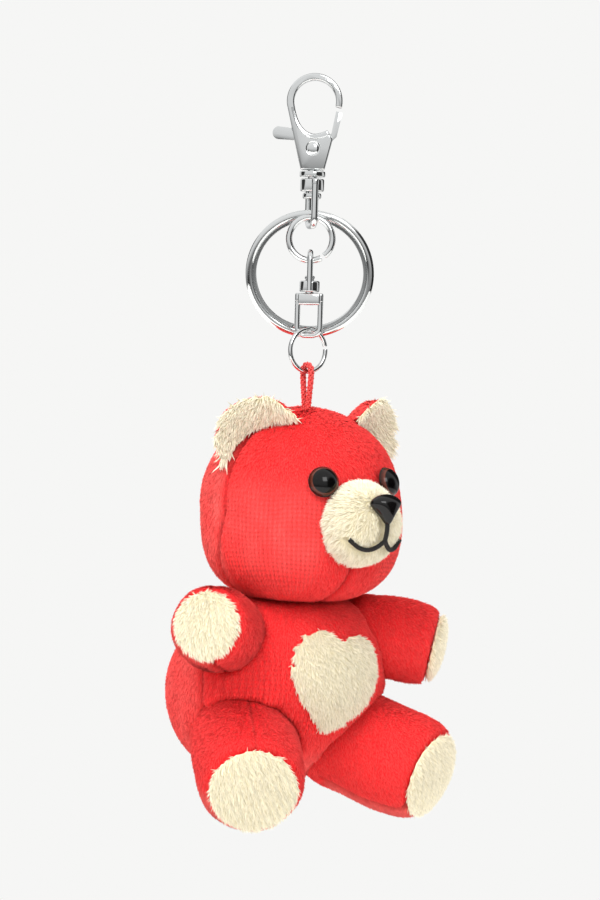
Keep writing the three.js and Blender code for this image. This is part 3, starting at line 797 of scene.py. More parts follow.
def lineDistance(p, points):  # from a point to a chain of straight pieces
    best = 1e9
    for a, b in zip(points, points[1:]):
        run = b - a
        t = max(0.0, min(1.0, (p - a).dot(run) / run.length_squared))
        best = min(best, (p - a - run * t).length)
    return best


def limbFrame(kind, side):
    size = limbs[kind]
    sign = sideSign[side]
    root, tip = Vector(size["root"]), Vector(size["tip"])
    root.x *= sign
    tip.x *= sign
    tip.z -= sign * size["raise"]
    turn = Vector((0, 0, 1)).rotation_difference((tip - root).normalized())
    return root, (tip - root).length, turn


def limbRadius(size, length, h):  # the limb's radius at a height over its root
    if h <= 0:
        return math.sqrt(max(0.0, size["rootR"] ** 2 - h * h))
    if h < length * 0.6:
        t = h / (length * 0.6)
        return size["rootR"] + (size["tipR"] - size["rootR"]) * math.sin(t * math.pi / 2)
    t = min(1.0, (h - length * 0.6) / (length * 0.4))
    end = size["padR"] + 0.6
    return end + (size["tipR"] - end) * math.cos(t * math.pi / 2) ** 0.8


def inLimb(p, place, grow):  # whether a point in mm is inside a limb grown by so many mm
    size, root, length, back = place
    q = back @ (p - root)
    if q.z < -size["rootR"] - grow or q.z > length:
        return False
    if q.z < 0:
        return q.length < size["rootR"] + grow
    return math.hypot(q.x, q.y) < limbRadius(size, length, q.z) + grow + 0.06 * q.z


def limbPlaces():
    places = []
    for kind in limbs:
        for side in (right, left):
            root, length, turn = limbFrame(kind, side)
            places.append((limbs[kind], root, length, turn.inverted()))
    return places


def remesh(piece, voxel):
    modify(piece, "REMESH", mode="VOXEL", voxel_size=voxel * mm, adaptivity=0.0)


# Cloth pressure swells the piece against the seam lines that are pinned, as filling does inside a sewn cover
def inflate(piece, pinned):
    before = [point.co.copy() for point in piece.data.vertices]
    seams = piece.vertex_groups.new(name="seams")
    seams.add([i for i, co in enumerate(before) if pinned(co / mm)], 1.0, "REPLACE")
    grow = cloth["grow"]
    middle = sum(before, Vector()) / len(before)
    moveVerts(piece, lambda co: (co - middle) * grow)
    makeActive(piece)
    sim = piece.modifiers.new("Cloth", "CLOTH")
    sim.settings.quality = 4
    sim.settings.mass = 0.2
    sim.settings.use_pressure = True
    sim.settings.uniform_pressure_force = cloth["pressure"]
    sim.settings.effector_weights.gravity = 0
    sim.settings.vertex_group_mass = "seams"
    sim.collision_settings.use_collision = False
    sim.point_cache.frame_start = 1
    sim.point_cache.frame_end = cloth["steps"]
    for frameNumber in range(1, cloth["steps"] + 1):
        bpy.context.scene.frame_set(frameNumber)
    makeActive(piece)
    bpy.ops.object.modifier_apply(modifier=sim.name)
    bpy.context.scene.frame_set(1)
    cap = cloth["swell"] * mm
    for point, old in zip(piece.data.vertices, before):
        moved = point.co / grow + middle - old
        if moved.length > cap:
            moved *= cap / moved.length
        point.co = old + moved
    piece.vertex_groups.remove(piece.vertex_groups["seams"])
    piece.data.update()


def pressSeams(piece, seamGap, depth, wide):  # sinks an uneven groove along the seams
    normals = [point.normal.copy() for point in piece.data.vertices]
    for point, normal in zip(piece.data.vertices, normals):
        p = point.co / mm
        away = seamGap(p)
        if away < wide * 4:
            pucker = 1 + 0.35 * noise.noise(p * 0.45)
            point.co -= normal * depth * mm * pucker * math.exp(-(away / wide) ** 2)
    piece.data.update()


def roughen(piece, amount, size):  # soft lumps of uneven filling
    normals = [point.normal.copy() for point in piece.data.vertices]
    for point, normal in zip(piece.data.vertices, normals):
        point.co += normal * amount * mm * noise.noise(point.co / (size * mm))
    piece.data.update()


def stuffed(piece, seamGap, voxel=None, pin=None):  # turns a closed rough shape into a sewn, filled skin
    remesh(piece, voxel or cloth["voxel"])
    roughen(piece, cloth["lumps"], cloth["lumpSize"])
    inflate(piece, lambda p: seamGap(p) < 1.2 or (pin is not None and pin(p)))
    modify(piece, "SMOOTH", factor=0.5, iterations=2)
    modify(piece, "SUBSURF", levels=1, render_levels=1)
    pressSeams(piece, seamGap, cloth["groove"], cloth["grooveWide"])
    makeActive(piece)
    bpy.ops.object.shade_smooth()
    return piece


# Pile

def makeTuft(name, bend):  # a three-sided tuft, 1 unit long from its base at the origin, bent over a little
    bpy.ops.mesh.primitive_cone_add(vertices=3, radius1=0.5, radius2=0, depth=1.0, location=(0, 0, 0.5))
    tuft = bpy.context.object
    tuft.name = name
    settle(tuft)
    if bend:
        editSelected(tuft, lambda p: True)
        bpy.ops.mesh.bisect(plane_co=(0, 0, 0.5), plane_no=(0, 0, 1))
        editDone()
        outwards(tuft)

        def bent(p):
            swell = 1.25 if 0.1 < p.z < 0.9 else 1.0
            return Vector((p.x * swell + bend * p.z * p.z, p.y * swell, p.z))
        moveVerts(tuft, bent)
    tip = tuft.data.attributes.new("tip", "FLOAT", "POINT")
    tip.data.foreach_set("value", [max(0.0, min(1.0, point.co.z)) for point in tuft.data.vertices])
    modify(tuft, "TRIANGULATE")
    tuft.hide_render = True
    tuft.hide_viewport = True
    return tuft


# Scatters tufts over a skin with geometry nodes, combed along the skin's own comb attribute
def pileTree(name, tuft, look, seed):
    tree = bpy.data.node_groups.new(name, "GeometryNodeTree")
    tree.is_modifier = True
    for way in ("INPUT", "OUTPUT"):
        tree.interface.new_socket("Geometry", in_out=way, socket_type="NodeSocketGeometry")

    def skinMark(label, kind="FLOAT"):
        return addNode(tree, "GeometryNodeInputNamedAttribute", {"Name": label}, data_type=kind)

    def chance(low, high, extra, kind="FLOAT"):
        ends = {0: low, 1: high} if kind == "FLOAT_VECTOR" else {2: low, 3: high}
        node = addNode(tree, "FunctionNodeRandomValue", {**ends, "Seed": seed + extra}, data_type=kind)
        return node.outputs[0 if kind == "FLOAT_VECTOR" else 1]

    skin = addNode(tree, "NodeGroupInput")
    much = addNode(tree, "ShaderNodeMath", {
        0: skinMark("pile"), 1: look["density"] / mm ** 2,
    }, operation="MULTIPLY")
    scatter = addNode(tree, "GeometryNodeDistributePointsOnFaces", {
        "Mesh": skin, "Density": much, "Seed": seed,
    })
    normal = scatter.outputs[1]
    marked = addNode(tree, "GeometryNodeStoreNamedAttribute", {
        "Geometry": scatter, "Name": "tuftShade", "Value": chance(0.0, 1.0, 1),
    }, data_type="FLOAT", domain="POINT")
    marked = addNode(tree, "GeometryNodeStoreNamedAttribute", {
        "Geometry": marked, "Name": "skinNormal", "Value": normal,
    }, data_type="FLOAT_VECTOR", domain="POINT")
    stand = addNode(tree, "ShaderNodeVectorMath", {0: normal, "Scale": look["stand"]}, operation="SCALE")
    comb = skinMark("comb", "FLOAT_VECTOR")
    lay = addNode(tree, "ShaderNodeVectorMath", {0: comb, "Scale": look["lay"]}, operation="SCALE")
    wild = chance((-look["wild"],) * 3, (look["wild"],) * 3, 2, "FLOAT_VECTOR")
    both = addNode(tree, "ShaderNodeVectorMath", {0: stand, 1: lay}, operation="ADD")
    way = addNode(tree, "ShaderNodeVectorMath", {0: both, 1: wild}, operation="ADD")
    roll = chance((0, 0, 0), (0, 0, 2 * math.pi), 3, "FLOAT_VECTOR")
    aim = addNode(tree, "FunctionNodeAlignRotationToVector", {"Rotation": roll, "Vector": way}, axis="Z")
    tall = addNode(tree, "ShaderNodeMath", {
        0: skinMark("pileLength"), 1: chance(0.75, 1.2, 4),
    }, operation="MULTIPLY")
    full = addNode(tree, "ShaderNodeVectorMath", {
        0: (look["wide"] * mm, look["wide"] * mm, look["long"] * mm), "Scale": tall,
    }, operation="SCALE")
    source = addNode(tree, "GeometryNodeObjectInfo", {"Object": tuft}).outputs["Geometry"]
    planted = addNode(tree, "GeometryNodeInstanceOnPoints", {
        "Points": marked, "Instance": source, "Rotation": aim, "Scale": full,
    })
    real = addNode(tree, "GeometryNodeRealizeInstances", {"Geometry": planted})
    addNode(tree, "NodeGroupOutput", {0: real})
    return tree


def evenly(value):
    return lambda p, n: value


# Plants the pile and keeps the skin under it. Each function gives a value for a place and normal on the skin.
def pileOn(skin, pile, seed, combOf, coverage=evenly(1.0), lengthOf=evenly(1.0), hollow=0.0, marks=None):
    mesh = skin.data
    marks = {"nap": evenly((0, 0, 0)), "wearAndSheen": evenly(0.0), "seamGrooveShade": evenly(0.0), **(marks or {})}
    places = [(point.co / mm, point.normal) for point in mesh.vertices]

    def store(label, kind, valueOf):
        attribute = mesh.attributes.new(label, kind, "POINT")
        field = "vector" if kind == "FLOAT_VECTOR" else "value"
        for i, (p, n) in enumerate(places):
            setattr(attribute.data[i], field, valueOf(p, n))

    def combed(p, n):
        way = combOf(p, n)
        way = way - n * way.dot(n)
        return way.normalized() if way.length > 1e-4 else (0, 0, 0)

    store("comb", "FLOAT_VECTOR", combed)
    store("pile", "FLOAT", coverage)
    store("pileLength", "FLOAT", lengthOf)
    store("nap", "FLOAT_VECTOR", marks["nap"])
    store("wearAndSheen", "FLOAT", marks["wearAndSheen"])
    store("seamGrooveShade", "FLOAT", marks["seamGrooveShade"])
    makeActive(skin)
    bpy.ops.object.duplicate()
    tufts = bpy.context.object
    modifier = tufts.modifiers.new("Pile", "NODES")
    modifier.node_group = pileTree(skin.name + "Pile", pile["tuft"], pile, seed)
    bpy.ops.object.modifier_apply(modifier=modifier.name)
    store("tip", "FLOAT", evenly(0.0))
    store("tuftShade", "FLOAT", evenly(0.5))
    store("skinNormal", "FLOAT_VECTOR", lambda p, n: n)
    if hollow:
        modify(skin, "SOLIDIFY", thickness=hollow * mm, offset=-1.0)
    whole = joined([skin, tufts])
    for name in ("comb", "pile", "pileLength"):
        whole.data.attributes.remove(whole.data.attributes[name])
    return whole


# Tufts per square mm and their size in mm. Each stands for a few dozen fibres, so they are as coarse as that.
velour = {
    "density": 11.0, "stand": 0.42, "lay": 0.9, "wild": 0.22, "wide": 0.29, "long": 0.85,
    "material": coralPlush, "slot": "coral_plush",
}
shag = {
    "density": 13.0, "stand": 0.5, "lay": 0.7, "wild": 0.2, "wide": 0.3, "long": 1.7,
    "material": creamPlush, "slot": "cream_plush",
}


def finishPlush(piece, name, body, pile, node):
    return finishPiece(piece, name, body, pile["material"], node)


def downwards(p, n):
    return Vector((0, 0, -1)) + Vector((0.25, 0, 0)) * noise.noise(p * 0.12)


def clumped(way, amount=0.5, size=1.1):  # a combing direction that wanders from clump to clump
    def comb(p, n):
        push = noise.noise_vector(p / size)
        return way(p, n).normalized() + push * amount
    return comb


def fade(value, start, end):  # 0 at start, 1 at end, soft at both
    t = max(0.0, min(1.0, (value - start) / (end - start)))
    return t * t * (3 - 2 * t)


# The head is sewn from a face and a back that meet in a seam through the ears, with a dart under each cheek
dart = [Vector((13.3, -15.2, -111.7)), Vector((13.7, -12.0, -115.2)), Vector((11.7, -8.4, -118.3))]
knitPitch = 1.05  # a wale of the knit, about twice the real one so that it shows


def headSeams(p):
    gapTo = abs(p.y - head["seamY"] - 0.31 * max(0.0, -100 - p.z))
    if p.z < -108 and p.y < 0:
        folded = Vector((abs(p.x), p.y, p.z))
        gapTo = min(gapTo, lineDistance(folded, dart))
        if p.z < -111:
            gapTo = min(gapTo, abs(p.x))
    return gapTo


def seamShade(gapOf):
    return lambda p, n: math.exp(-(gapOf(p) / 0.5) ** 2)


def headNap(p, n):  # the knit shows on the cheeks, where the nap is short, as painted shade in its grooves
    q = p - head["at"]
    around = math.atan2(q.x, -q.y) * 22.0 / knitPitch
    rows = (q.z + 0.6 * noise.noise(p * 0.12)) / knitPitch
    cheek = fade(abs(q.x), 5, 11) * fade(-q.z, -9, 0) * fade(-p.y, -2, 3)
    return around, rows, cheek * (1 - 0.5 * fade(-q.z, 13, 19))


# Painted sheen on the back of the head, which is paler as if lit at a glancing angle. The cheeks are paler
# where the pile is brushed.
def headWearAndSheen(p, n):
    back = fade(p.y, -1, 1)
    return max(0.75 * back, headNap(p, n)[2] * 0.45) * (0.8 + 0.4 * noise.noise(p * 0.2))


def buildHead():
    skin = ball(head["radii"], head["at"])
    skin.name = "head"

    def shape(co):
        p = co / mm
        q = p - head["at"]
        cheekAway = (Vector((abs(p.x), p.y, p.z)) - head["cheek"]).length
        puff = head["puff"] * math.exp(-(cheekAway / 9.0) ** 2)
        brow = -head["browDip"] * math.exp(-((p - head["brow"]).length / 6.0) ** 2)
        return (head["at"] + q * (1 + (puff + brow) / 23.0) / insideOf(p, head)) * mm

    moveVerts(skin, shape)
    stuffed(skin, headSeams)
    whole = pileOn(
        skin, velour, 11, downwards,
        coverage=lambda p, n: 0.0 if insideOf(p, muzzle) < 0.93 else 1.0,
        lengthOf=lambda p, n: (0.45 if headSeams(p) < 0.6 else 1.0) * (1 - 0.3 * headNap(p, n)[2]),
        hollow=cloth["wall"], marks={"nap": headNap, "wearAndSheen": headWearAndSheen, "seamGrooveShade": seamShade(headSeams)},
    )
    finishPlush(whole, "head_cover_plush", "head", velour, "head_cover")


lips = [(0.2, -106.0), (1.6, -107.3), (3.2, -107.9), (5.1, -107.4), (7.0, -105.7)]


def skinPoint(x, z, shape, lift=0.0):
    q = (x / shape["radii"].x) ** 2 + ((z - shape["at"].z) / shape["radii"].z) ** 2
    y = shape["at"].y - shape["radii"].y * math.sqrt(max(0.0, 1 - q))
    return Vector((x, y - lift, z))


def mouthGap(p):  # the distance from the nearest mouth stitch
    folded = Vector((abs(p.x), p.y, p.z))
    across = lineDistance(folded, [skinPoint(x, z, muzzle) for x, z in lips])
    down = lineDistance(folded, [skinPoint(0, z, muzzle) for z in (-101.0, -106.0)])
    return min(across, down)


def buildMuzzle():
    skin = ball(muzzle["radii"], muzzle["at"])
    skin.name = "muzzle"

    def shape(co):
        p = co / mm
        away = insideOf(p, head, 0.4)
        if away < 1:
            p = head["at"] + (p - head["at"]) / away
        return p * mm

    moveVerts(skin, shape)
    stuffed(skin, mouthGap, voxel=0.9, pin=lambda p: insideOf(p, head, 1.2) < 1)
    centre = Vector((0, -26, -99.5))
    whole = pileOn(
        skin, shag, 12, clumped(lambda p, n: p - centre),
        coverage=lambda p, n: 0.0 if insideOf(p, head, 0.7) < 1 or mouthGap(p) < 0.45 else 1.0,
        lengthOf=lambda p, n: 0.35 if mouthGap(p) < 1.2 else 0.75,
        hollow=cloth["wall"], marks={"seamGrooveShade": seamShade(mouthGap)},
    )
    finishPlush(whole, "muzzle_cover_plush", "head", shag, "muzzle_cover")


def torsoSeams(p):
    q = p - torso["at"]
    side = abs(q.y + torso["seamY"]) if abs(q.x) > 9 else 9.0
    back = abs(p.x) if q.y > 0 else 9.0
    return min(side, back)


def torsoNap(p, n):
    q = p - torso["at"]
    front = fade(-q.y, 6, 14) * fade(-abs(q.z), -14, -7) * (0.6 + 0.5 * noise.noise(p * 0.1))
    return q.x / knitPitch, (q.z + 0.5 * noise.noise(p * 0.15)) / knitPitch, front


# Painted sheen: the sides, the back and the low belly are paler, as if lit at a glancing angle.
def torsoWearAndSheen(p, n):
    q = p - torso["at"]
    return max(0.55 * fade(q.y, -7, -4), 0.6 * fade(-q.z, 10, 20)) * (0.8 + 0.5 * noise.noise(p * 0.16))


def buildTorso():
    skin = ball(torso["radii"], (0, 0, 0), 96, 64)
    skin.name = "torso"
    places = limbPlaces()

    def taken(p):
        return insideOf(p, head, 0.4) < 1 or any(inLimb(p, place, -0.2) for place in places)

    def fillet(p):  # the cloth is drawn up towards each limb
        grows = [g for g in (1.0, 2.0, 3.0, 4.5, 6.0) if any(inLimb(p, place, g) for place in places)]
        return 0.9 * (1 - (grows[0] - 1.0) / 6.0) ** 2 if grows else 0.0

    def shape(co):
        q = co / mm
        q.y += torso["lean"] * q.z
        q *= 1 + fillet(torso["at"] + q) / 24.0
        far = 1.0
        if taken(torso["at"] + q):
            far = next((i / 40 for i in range(4, 41) if taken(torso["at"] + q * (i / 40))), 1.0)
            low = far - 1 / 40
            for _ in range(6):
                mid = (low + far) / 2
                if taken(torso["at"] + q * mid):
                    far = mid
                else:
                    low = mid
        return (torso["at"] + q * far) * mm

    moveVerts(skin, shape)

    def near(p):
        return any(inLimb(p, place, 1.6) for place in places) or insideOf(p, head, 1.8) < 1

    stuffed(skin, torsoSeams, pin=near)

    makeActive(skin)
    bpy.ops.object.duplicate()
    bare = bpy.context.object  # the patch is laid on this, then it goes

    def covered(p, n):
        if n.y < 0 and underHeart(p):
            return 0.0
        return 0.4 if any(inLimb(p, place, 0.2) for place in places) or insideOf(p, head, 0.6) < 1 else 1.0

    whole = pileOn(
        skin, velour, 13, downwards, coverage=covered,
        lengthOf=lambda p, n: 0.5 if torsoSeams(p) < 0.6 else 1.0,
        hollow=cloth["wall"], marks={"nap": torsoNap, "wearAndSheen": torsoWearAndSheen, "seamGrooveShade": seamShade(torsoSeams)},
    )
    finishPlush(whole, "torso_cover_plush", "torso", velour, "torso_cover")
    return bare


def buildLimb(kind, side, seed):
    size = limbs[kind]
    root, length, turn = limbFrame(kind, side)
    name = f"{kind}_{side}"
    skin = ball((1, 1, 1), (0, 0, 0), 64, 56)
    skin.name = name

    def shape(co):
        q = co / mm
        t = (1 + max(-1.0, min(1.0, q.z))) / 2
        h = -size["rootR"] + (length + size["rootR"]) * t
        r = limbRadius(size, length, h)
        if t > 0.985:
            r *= math.sqrt(max(0.0, (1 - t) / 0.015))
        flat = math.hypot(q.x, q.y)
        way = Vector((q.x / flat, q.y / flat, 0)) if flat > 1e-6 else Vector()
        return (root + turn @ (way * r + Vector((0, 0, h)))) * mm

    moveVerts(skin, shape)
    back = turn.inverted()
    rise = back @ Vector((0, 0, 1))
    rise = Vector((rise.x, rise.y, 0)).normalized()
    inward = Vector((0, 0, 1)).cross(rise)
    if inward.dot(back @ Vector((-sideSign[side], 0, 0))) < 0:
        inward = -inward

    def around(p):  # the angle about the limb, 0 underneath and growing towards the bear's middle
        q = back @ (p - root)
        return math.atan2(q.dot(inward), -q.dot(rise)), math.hypot(q.x, q.y), q.z

    def seam(p):  # one seam runs along the top and one low on the inner side
        angle, reach, high = around(p)
        low = abs(angle - math.radians(size["seam"]))
        return min(low * reach, (math.pi - abs(angle)) * reach + 0.6) if high > 0 else 9.0

    def paler(p, n):
        angle, _, high = around(p)
        below = fade(math.radians(size["seam"]) - angle, 0, 0.08) * fade(angle, -1.6, -1.2)
        return size["wearAndSheenAmount"] * below * fade(high, 0, 3)

    def end(p):
        return (back @ (p - root)).z > length - 0.9

    stuffed(skin, seam, voxel=1.2, pin=end)
    along = turn @ Vector((0, 0, 1))
    whole = pileOn(
        skin, velour, seed, lambda p, n: Vector((0, 0, -0.8)) + along * 0.5,
        coverage=lambda p, n: 0.15 if n.dot(along) > 0.9 and end(p) else 1.0,
        lengthOf=lambda p, n: 0.5 if seam(p) < 0.6 else 1.0,
        hollow=cloth["wall"], marks={"wearAndSheen": paler, "seamGrooveShade": seamShade(seam)},
    )
    finishPlush(whole, f"{kind}_cover_plush_{side}", name, velour, f"{kind}_cover_{side}")

    pad = ball((size["padR"], size["padR"], 1.0), (0, 0, 0), 64, 32)
    pad.name = f"{name}_pad"

    def dome(co):
        p = co / mm
        z = p.z * (2.4 if p.z > 0 else 0.25)
        return (root + turn @ Vector((p.x, p.y, z + length + 0.15))) * mm

    moveVerts(pad, dome)
    stuffed(pad, lambda p: 9.0, voxel=0.8, pin=lambda p: (back @ (p - root)).z < length + 0.5)
    slant = Vector((0.45, 0, -1)).normalized()

    def padRows(p, n):  # rows of tufts that run slantwise, with painted shade between them
        return p.cross(slant).dot(along) / 1.5, 0.0, 1.0

    whole = pileOn(
        pad, shag, seed + 1, clumped(lambda p, n: slant + (p - root) * 0.01, 0.3),
        coverage=lambda p, n: 0.0 if n.dot(along) < -0.3 else 1.0,
        lengthOf=evenly(0.72), hollow=0.6, marks={"nap": padRows},
    )
    finishPlush(whole, f"{size['pad']}_plush_{side}", name, shag, f"{size['pad']}_{side}")


ear = {
    "at": (15.0, -0.6, -82.2), "radius": 10.5, "thick": 3.0, "pad": 1.5, "cup": 0.036, "curl": 0.012,
    "out": 0.57, "forward": -0.82, "fill": 0.4,
}


def earFrame(side):
    sign = sideSign[side]
    at = Vector((sign * ear["at"][0], ear["at"][1], ear["at"][2]))
    up = (at - head["at"]).normalized()
    front = Vector((sign * ear["out"], ear["forward"], 0))
    front = (front - up * front.dot(up)).normalized()
    across = (-front).cross(up)
    return at, Matrix((across, -front, up)).transposed()  # columns: across, back, up


def earShape(side, front):
    at, turn = earFrame(side)
    grow = 0.2 if front else -0.25

    def shape(co):
        p = co / mm
        rim = math.hypot(p.x, p.z)
        x, z = p.x * (ear["radius"] + grow), p.z * (ear["radius"] + grow)
        dome = math.sqrt(max(0.0, 1 - rim * rim))
        if front:
            y = -0.15 - (ear["pad"] * dome * (1 - 0.5 * math.exp(-(rim / 0.5) ** 2)) if p.y < 0 else 0.0)
        else:
            y = 0.15 + (ear["thick"] * dome if p.y > 0 else 0.0)
        y -= ear["cup"] * x * x + ear["curl"] * z * z
        q = at + turn @ Vector((x, y, z))
        away = insideOf(q, head, 0.2)
        if away < 1:
            q = head["at"] + (q - head["at"]) / away
        return q * mm
    return shape


def buildEar(side, seed):
    at, turn = earFrame(side)
    facing = turn @ Vector((0, -1, 0))
    bottom = Vector((sideSign[side] * 0.35, 0, -1))

    def buried(p):
        return insideOf(p, head, 0.9) < 1

    for front in (True, False):
        skin = ball((1, 1, 1), (0, 0, 0), 56, 40)
        skin.name = f"ear_{'front' if front else 'back'}_{side}"
        moveVerts(skin, earShape(side, front))
        stuffed(skin, lambda p: 9.0, voxel=0.8, pin=lambda p: insideOf(p, head, 1.5) < 1 or front)
        if front:
            whole = pileOn(
                skin, shag, seed, clumped(lambda p, n: bottom + (p - at) * 0.06),
                coverage=lambda p, n: 0.0 if buried(p) or n.dot(facing) < -0.35 else 1.0,
                lengthOf=lambda p, n: 1.0 + 0.9 * fade(-p.z, 82, 89),
            )
            finishPlush(whole, f"ear_front_plush_{side}", "head", shag, f"ear_front_{side}")
        else:
            whole = pileOn(
                skin, velour, seed + 1, downwards,
                coverage=lambda p, n: 0.0 if buried(p) or n.dot(facing) > 0.5 else 1.0,
                marks={"wearAndSheen": evenly(0.3)},
            )
            finishPlush(whole, f"ear_back_plush_{side}", "head", velour, f"ear_back_{side}")


# The heart's outline is drawn upright with its tip at the origin, and then tilted a little
heart = {
    "halfW": 12.5, "top": 25.0, "notch": 22.0, "shoulder": 17.6, "middle": 13.0, "x": -0.6, "tipZ": -151.6,
    "tilt": -7.0, "thick": 1.0, "fill": 0.2,
}


def bezier(a, b, c, d, count):
    points = []
    for i in range(count):
        t = i / count
        s = 1 - t
        points.append(tuple(
            s ** 3 * a[k] + 3 * s * s * t * b[k] + 3 * s * t * t * c[k] + t ** 3 * d[k] for k in range(2)
        ))
    return points


def heartReach():  # the outline as distances from its middle, by angle
    w, top, notch, low = heart["halfW"], heart["top"], heart["notch"], heart["shoulder"]
    half = bezier((0, 0), (7.2, 3.5), (w + 1.6, 9.6), (w, low), 24)
    half += bezier((w, low), (w - 1.2, top - 0.4), (3.6, top + 0.6), (0, notch), 24) + [(0, notch)]
    half = [(x, z - heart["middle"]) for x, z in half]
    return sorted((math.atan2(z, x), math.hypot(x, z)) for x, z in half)


heartTable = heartReach()


def reachAt(table, angle):  # the outline is the same on both sides, so angles fold to the right half
    a = angle if abs(angle) <= math.pi / 2 else math.copysign(math.pi, angle) - angle
    for (a0, r0), (a1, r1) in zip(table, table[1:]):
        if a0 <= a <= a1:
            return r0 + (r1 - r0) * (a - a0) / max(1e-6, a1 - a0)
    return table[-1][1] if a > 0 else table[0][1]


def tilted(x, z, degrees):
    a = math.radians(degrees)
    return x * math.cos(a) - z * math.sin(a), x * math.sin(a) + z * math.cos(a)


def underHeart(p):  # whether a point on the belly lies behind the heart patch
    x, z = tilted(p.x - heart["x"], p.z - heart["tipZ"], -heart["tilt"])
    z -= heart["middle"]
    return math.hypot(x, z) < reachAt(heartTable, math.atan2(z, x)) * 0.93


def buildHeart(body):
    skin = placed(ball((1, 1, 1), (0, 0, 0), 96, 24), turn=(90, 0, 0))
    skin.name = "heart"

    def shape(co):
        p = co / mm
        flat = math.hypot(p.x, p.z)
        angle = math.atan2(p.z, p.x)
        r = reachAt(heartTable, angle) * flat
        x, z = tilted(r * math.cos(angle), heart["middle"] + r * math.sin(angle), heart["tilt"])
        z += heart["tipZ"]
        _, place, normal, _ = body.ray_cast(Vector((x + heart["x"], -60, z)) * mm, Vector((0, 1, 0)))
        lift = 0.15 + heart["thick"] * math.sqrt(max(0.0, 1 - flat ** 4)) * (1 if p.y < 0 else 0)
        return (place / mm + normal * lift) * mm

    moveVerts(skin, shape)
    remesh(skin, 0.7)
    modify(skin, "SMOOTH", factor=0.5, iterations=3)
    modify(skin, "SUBSURF", levels=1, render_levels=1)
    makeActive(skin)
    bpy.ops.object.shade_smooth()
    whole = pileOn(
        skin, shag, 41, clumped(lambda p, n: Vector((0.15, 0, -1)), 0.35),
        coverage=lambda p, n: 1.0 if n.y < 0.1 else 0.0, lengthOf=evenly(0.72),
    )
    finishPlush(whole, "heart_patch_plush", "torso", shag, "heart_patch")
    bpy.data.objects.remove(body)


# Face

eye = {"x": 8.7, "z": -93.1, "radius": 3.6, "pupil": 0.78, "amber": "#5E2E22", "amberEdge": "#32140E"}


def buildEye(side):
    wide = Vector((23.6, 23.2, 22.8))
    spot = skinPoint(sideSign[side] * eye["x"], eye["z"], {"at": head["at"], "radii": wide})
    out = Vector([(spot[k] - head["at"][k]) / wide[k] ** 2 for k in range(3)]).normalized()
    turn = Vector((0, 0, 1)).rotation_difference(out)
    dome = ball((eye["radius"], eye["radius"], eye["radius"] * 0.82), (0, 0, 0), 48, 32)
    moveVerts(dome, lambda co: Vector((co.x, co.y, max(co.z, 0.55 * mm))))
    stem = barrel(-4.0, 0.8, 1.0, bevel=0.15, sides=24)
    button = joined([dome, stem])
    outwards(button)
    moveVerts(button, lambda co: turn @ co + (spot + out * 0.45) * mm)
    smooth(button)
    material = eyePlastic(f"amberEyePlastic_{side}", spot * mm, out, eye)
    finishPiece(button, f"eye_button_{side}", "head", material, f"eye_{side}")


def buildNose():
    spot = skinPoint(0, -98.4, {"at": Vector((0, -21.8, -102.3)), "radii": Vector((9.9, 10.4, 10.0))})
    forward = Vector((0, -1, 0.25)).normalized()
    turn = Vector((0, 0, 1)).rotation_difference(forward)
    dome = ball((4.1, 3.5, 2.9), (0, 0, 0), 64, 40)

    def shape(co):  # a rounded triangle, wide at the top and pointing down
        p = co / mm
        low = fade(-p.y, -1.8, 3.5)
        z = max(p.z * (1 - 0.15 * low), -0.6)
        return Vector((p.x * (1.06 - 0.72 * low), p.y * (0.86 + 0.3 * low), z)) * mm

    moveVerts(dome, shape)
    stem = barrel(-4.0, -0.3, 1.0, bevel=0.15, sides=24)
    button = joined([dome, stem])
    outwards(button)
    moveVerts(button, lambda co: turn @ co + (spot + forward * 1.1) * mm)
    smooth(button)
    finishPiece(button, "nose_button", "head", nosePlastic, "nose")


def passing(points, k, t):  # a smooth curve through the points, a part t of the way from point k to the next
    a, b = points[max(0, k - 1)], points[k]
    c, d = points[k + 1], points[min(len(points) - 1, k + 2)]
    bend = (2 * a - 5 * b + 4 * c - d) * t * t + (3 * b - a - 3 * c + d) * t ** 3
    return 0.5 * (2 * b + (c - a) * t + bend)


# A strand wound about a line. At a distance along it, wayOf gives the strand's angle and radius.
def wound(line, upOf, wayOf):
    travelled, path = 0.0, []
    for i, p in enumerate(line):
        if i:
            travelled += (p - line[i - 1]).length
        along = (line[min(i + 1, len(line) - 1)] - line[max(i - 1, 0)]).normalized()
        side, up = upOf(along)
        angle, radius = wayOf(travelled)
        path.append(p + (side * math.cos(angle) + up * math.sin(angle)) * radius)
    return path


stitch = {"radius": 0.55, "plies": 3, "pitch": 1.6, "lift": 1.5}


def twisted(points, name):  # a plied thread through points in mm
    line = [passing(points, k, t / 10) for k in range(len(points) - 1) for t in range(10)]
    line.append(points[-1].copy())

    def sides(along):
        side = along.cross(Vector((0, 0.3, 1))).normalized()
        return side, side.cross(along)

    plies = []
    for s in range(stitch["plies"]):
        path = wound(line, sides, lambda far: (
            2 * math.pi * (far / stitch["pitch"] + s / stitch["plies"]), stitch["radius"] * 0.5,
        ))
        plies.append(wire(path, stitch["radius"] * 0.56, sides=2))
    thread = joined(plies)
    thread.name = name
    smooth(thread, 60)
    return thread


def buildMouth():
    lift = stitch["lift"]
    middle = [skinPoint(0, z, muzzle, lift) for z in (-101.0, -102.8, -104.4, -106.0)]
    thread = twisted(middle, "mouthMiddle")
    finishPiece(thread, "mouth_thread_middle", "head", blackYarn, "mouth_stitch_middle")
    for side in (right, left):
        sign = sideSign[side]
        lip = [skinPoint(sign * x, z, muzzle, lift) for x, z in lips]
        thread = twisted(lip, "lip")
        finishPiece(
            thread, f"mouth_thread_{side}", "head", blackYarn, f"mouth_stitch_{side}",
        )


# Hanging cord

braid = {"carriers": 4, "radius": 0.46, "strand": 0.19, "sway": 0.16, "pitch": 4.6, "perMm": 5}


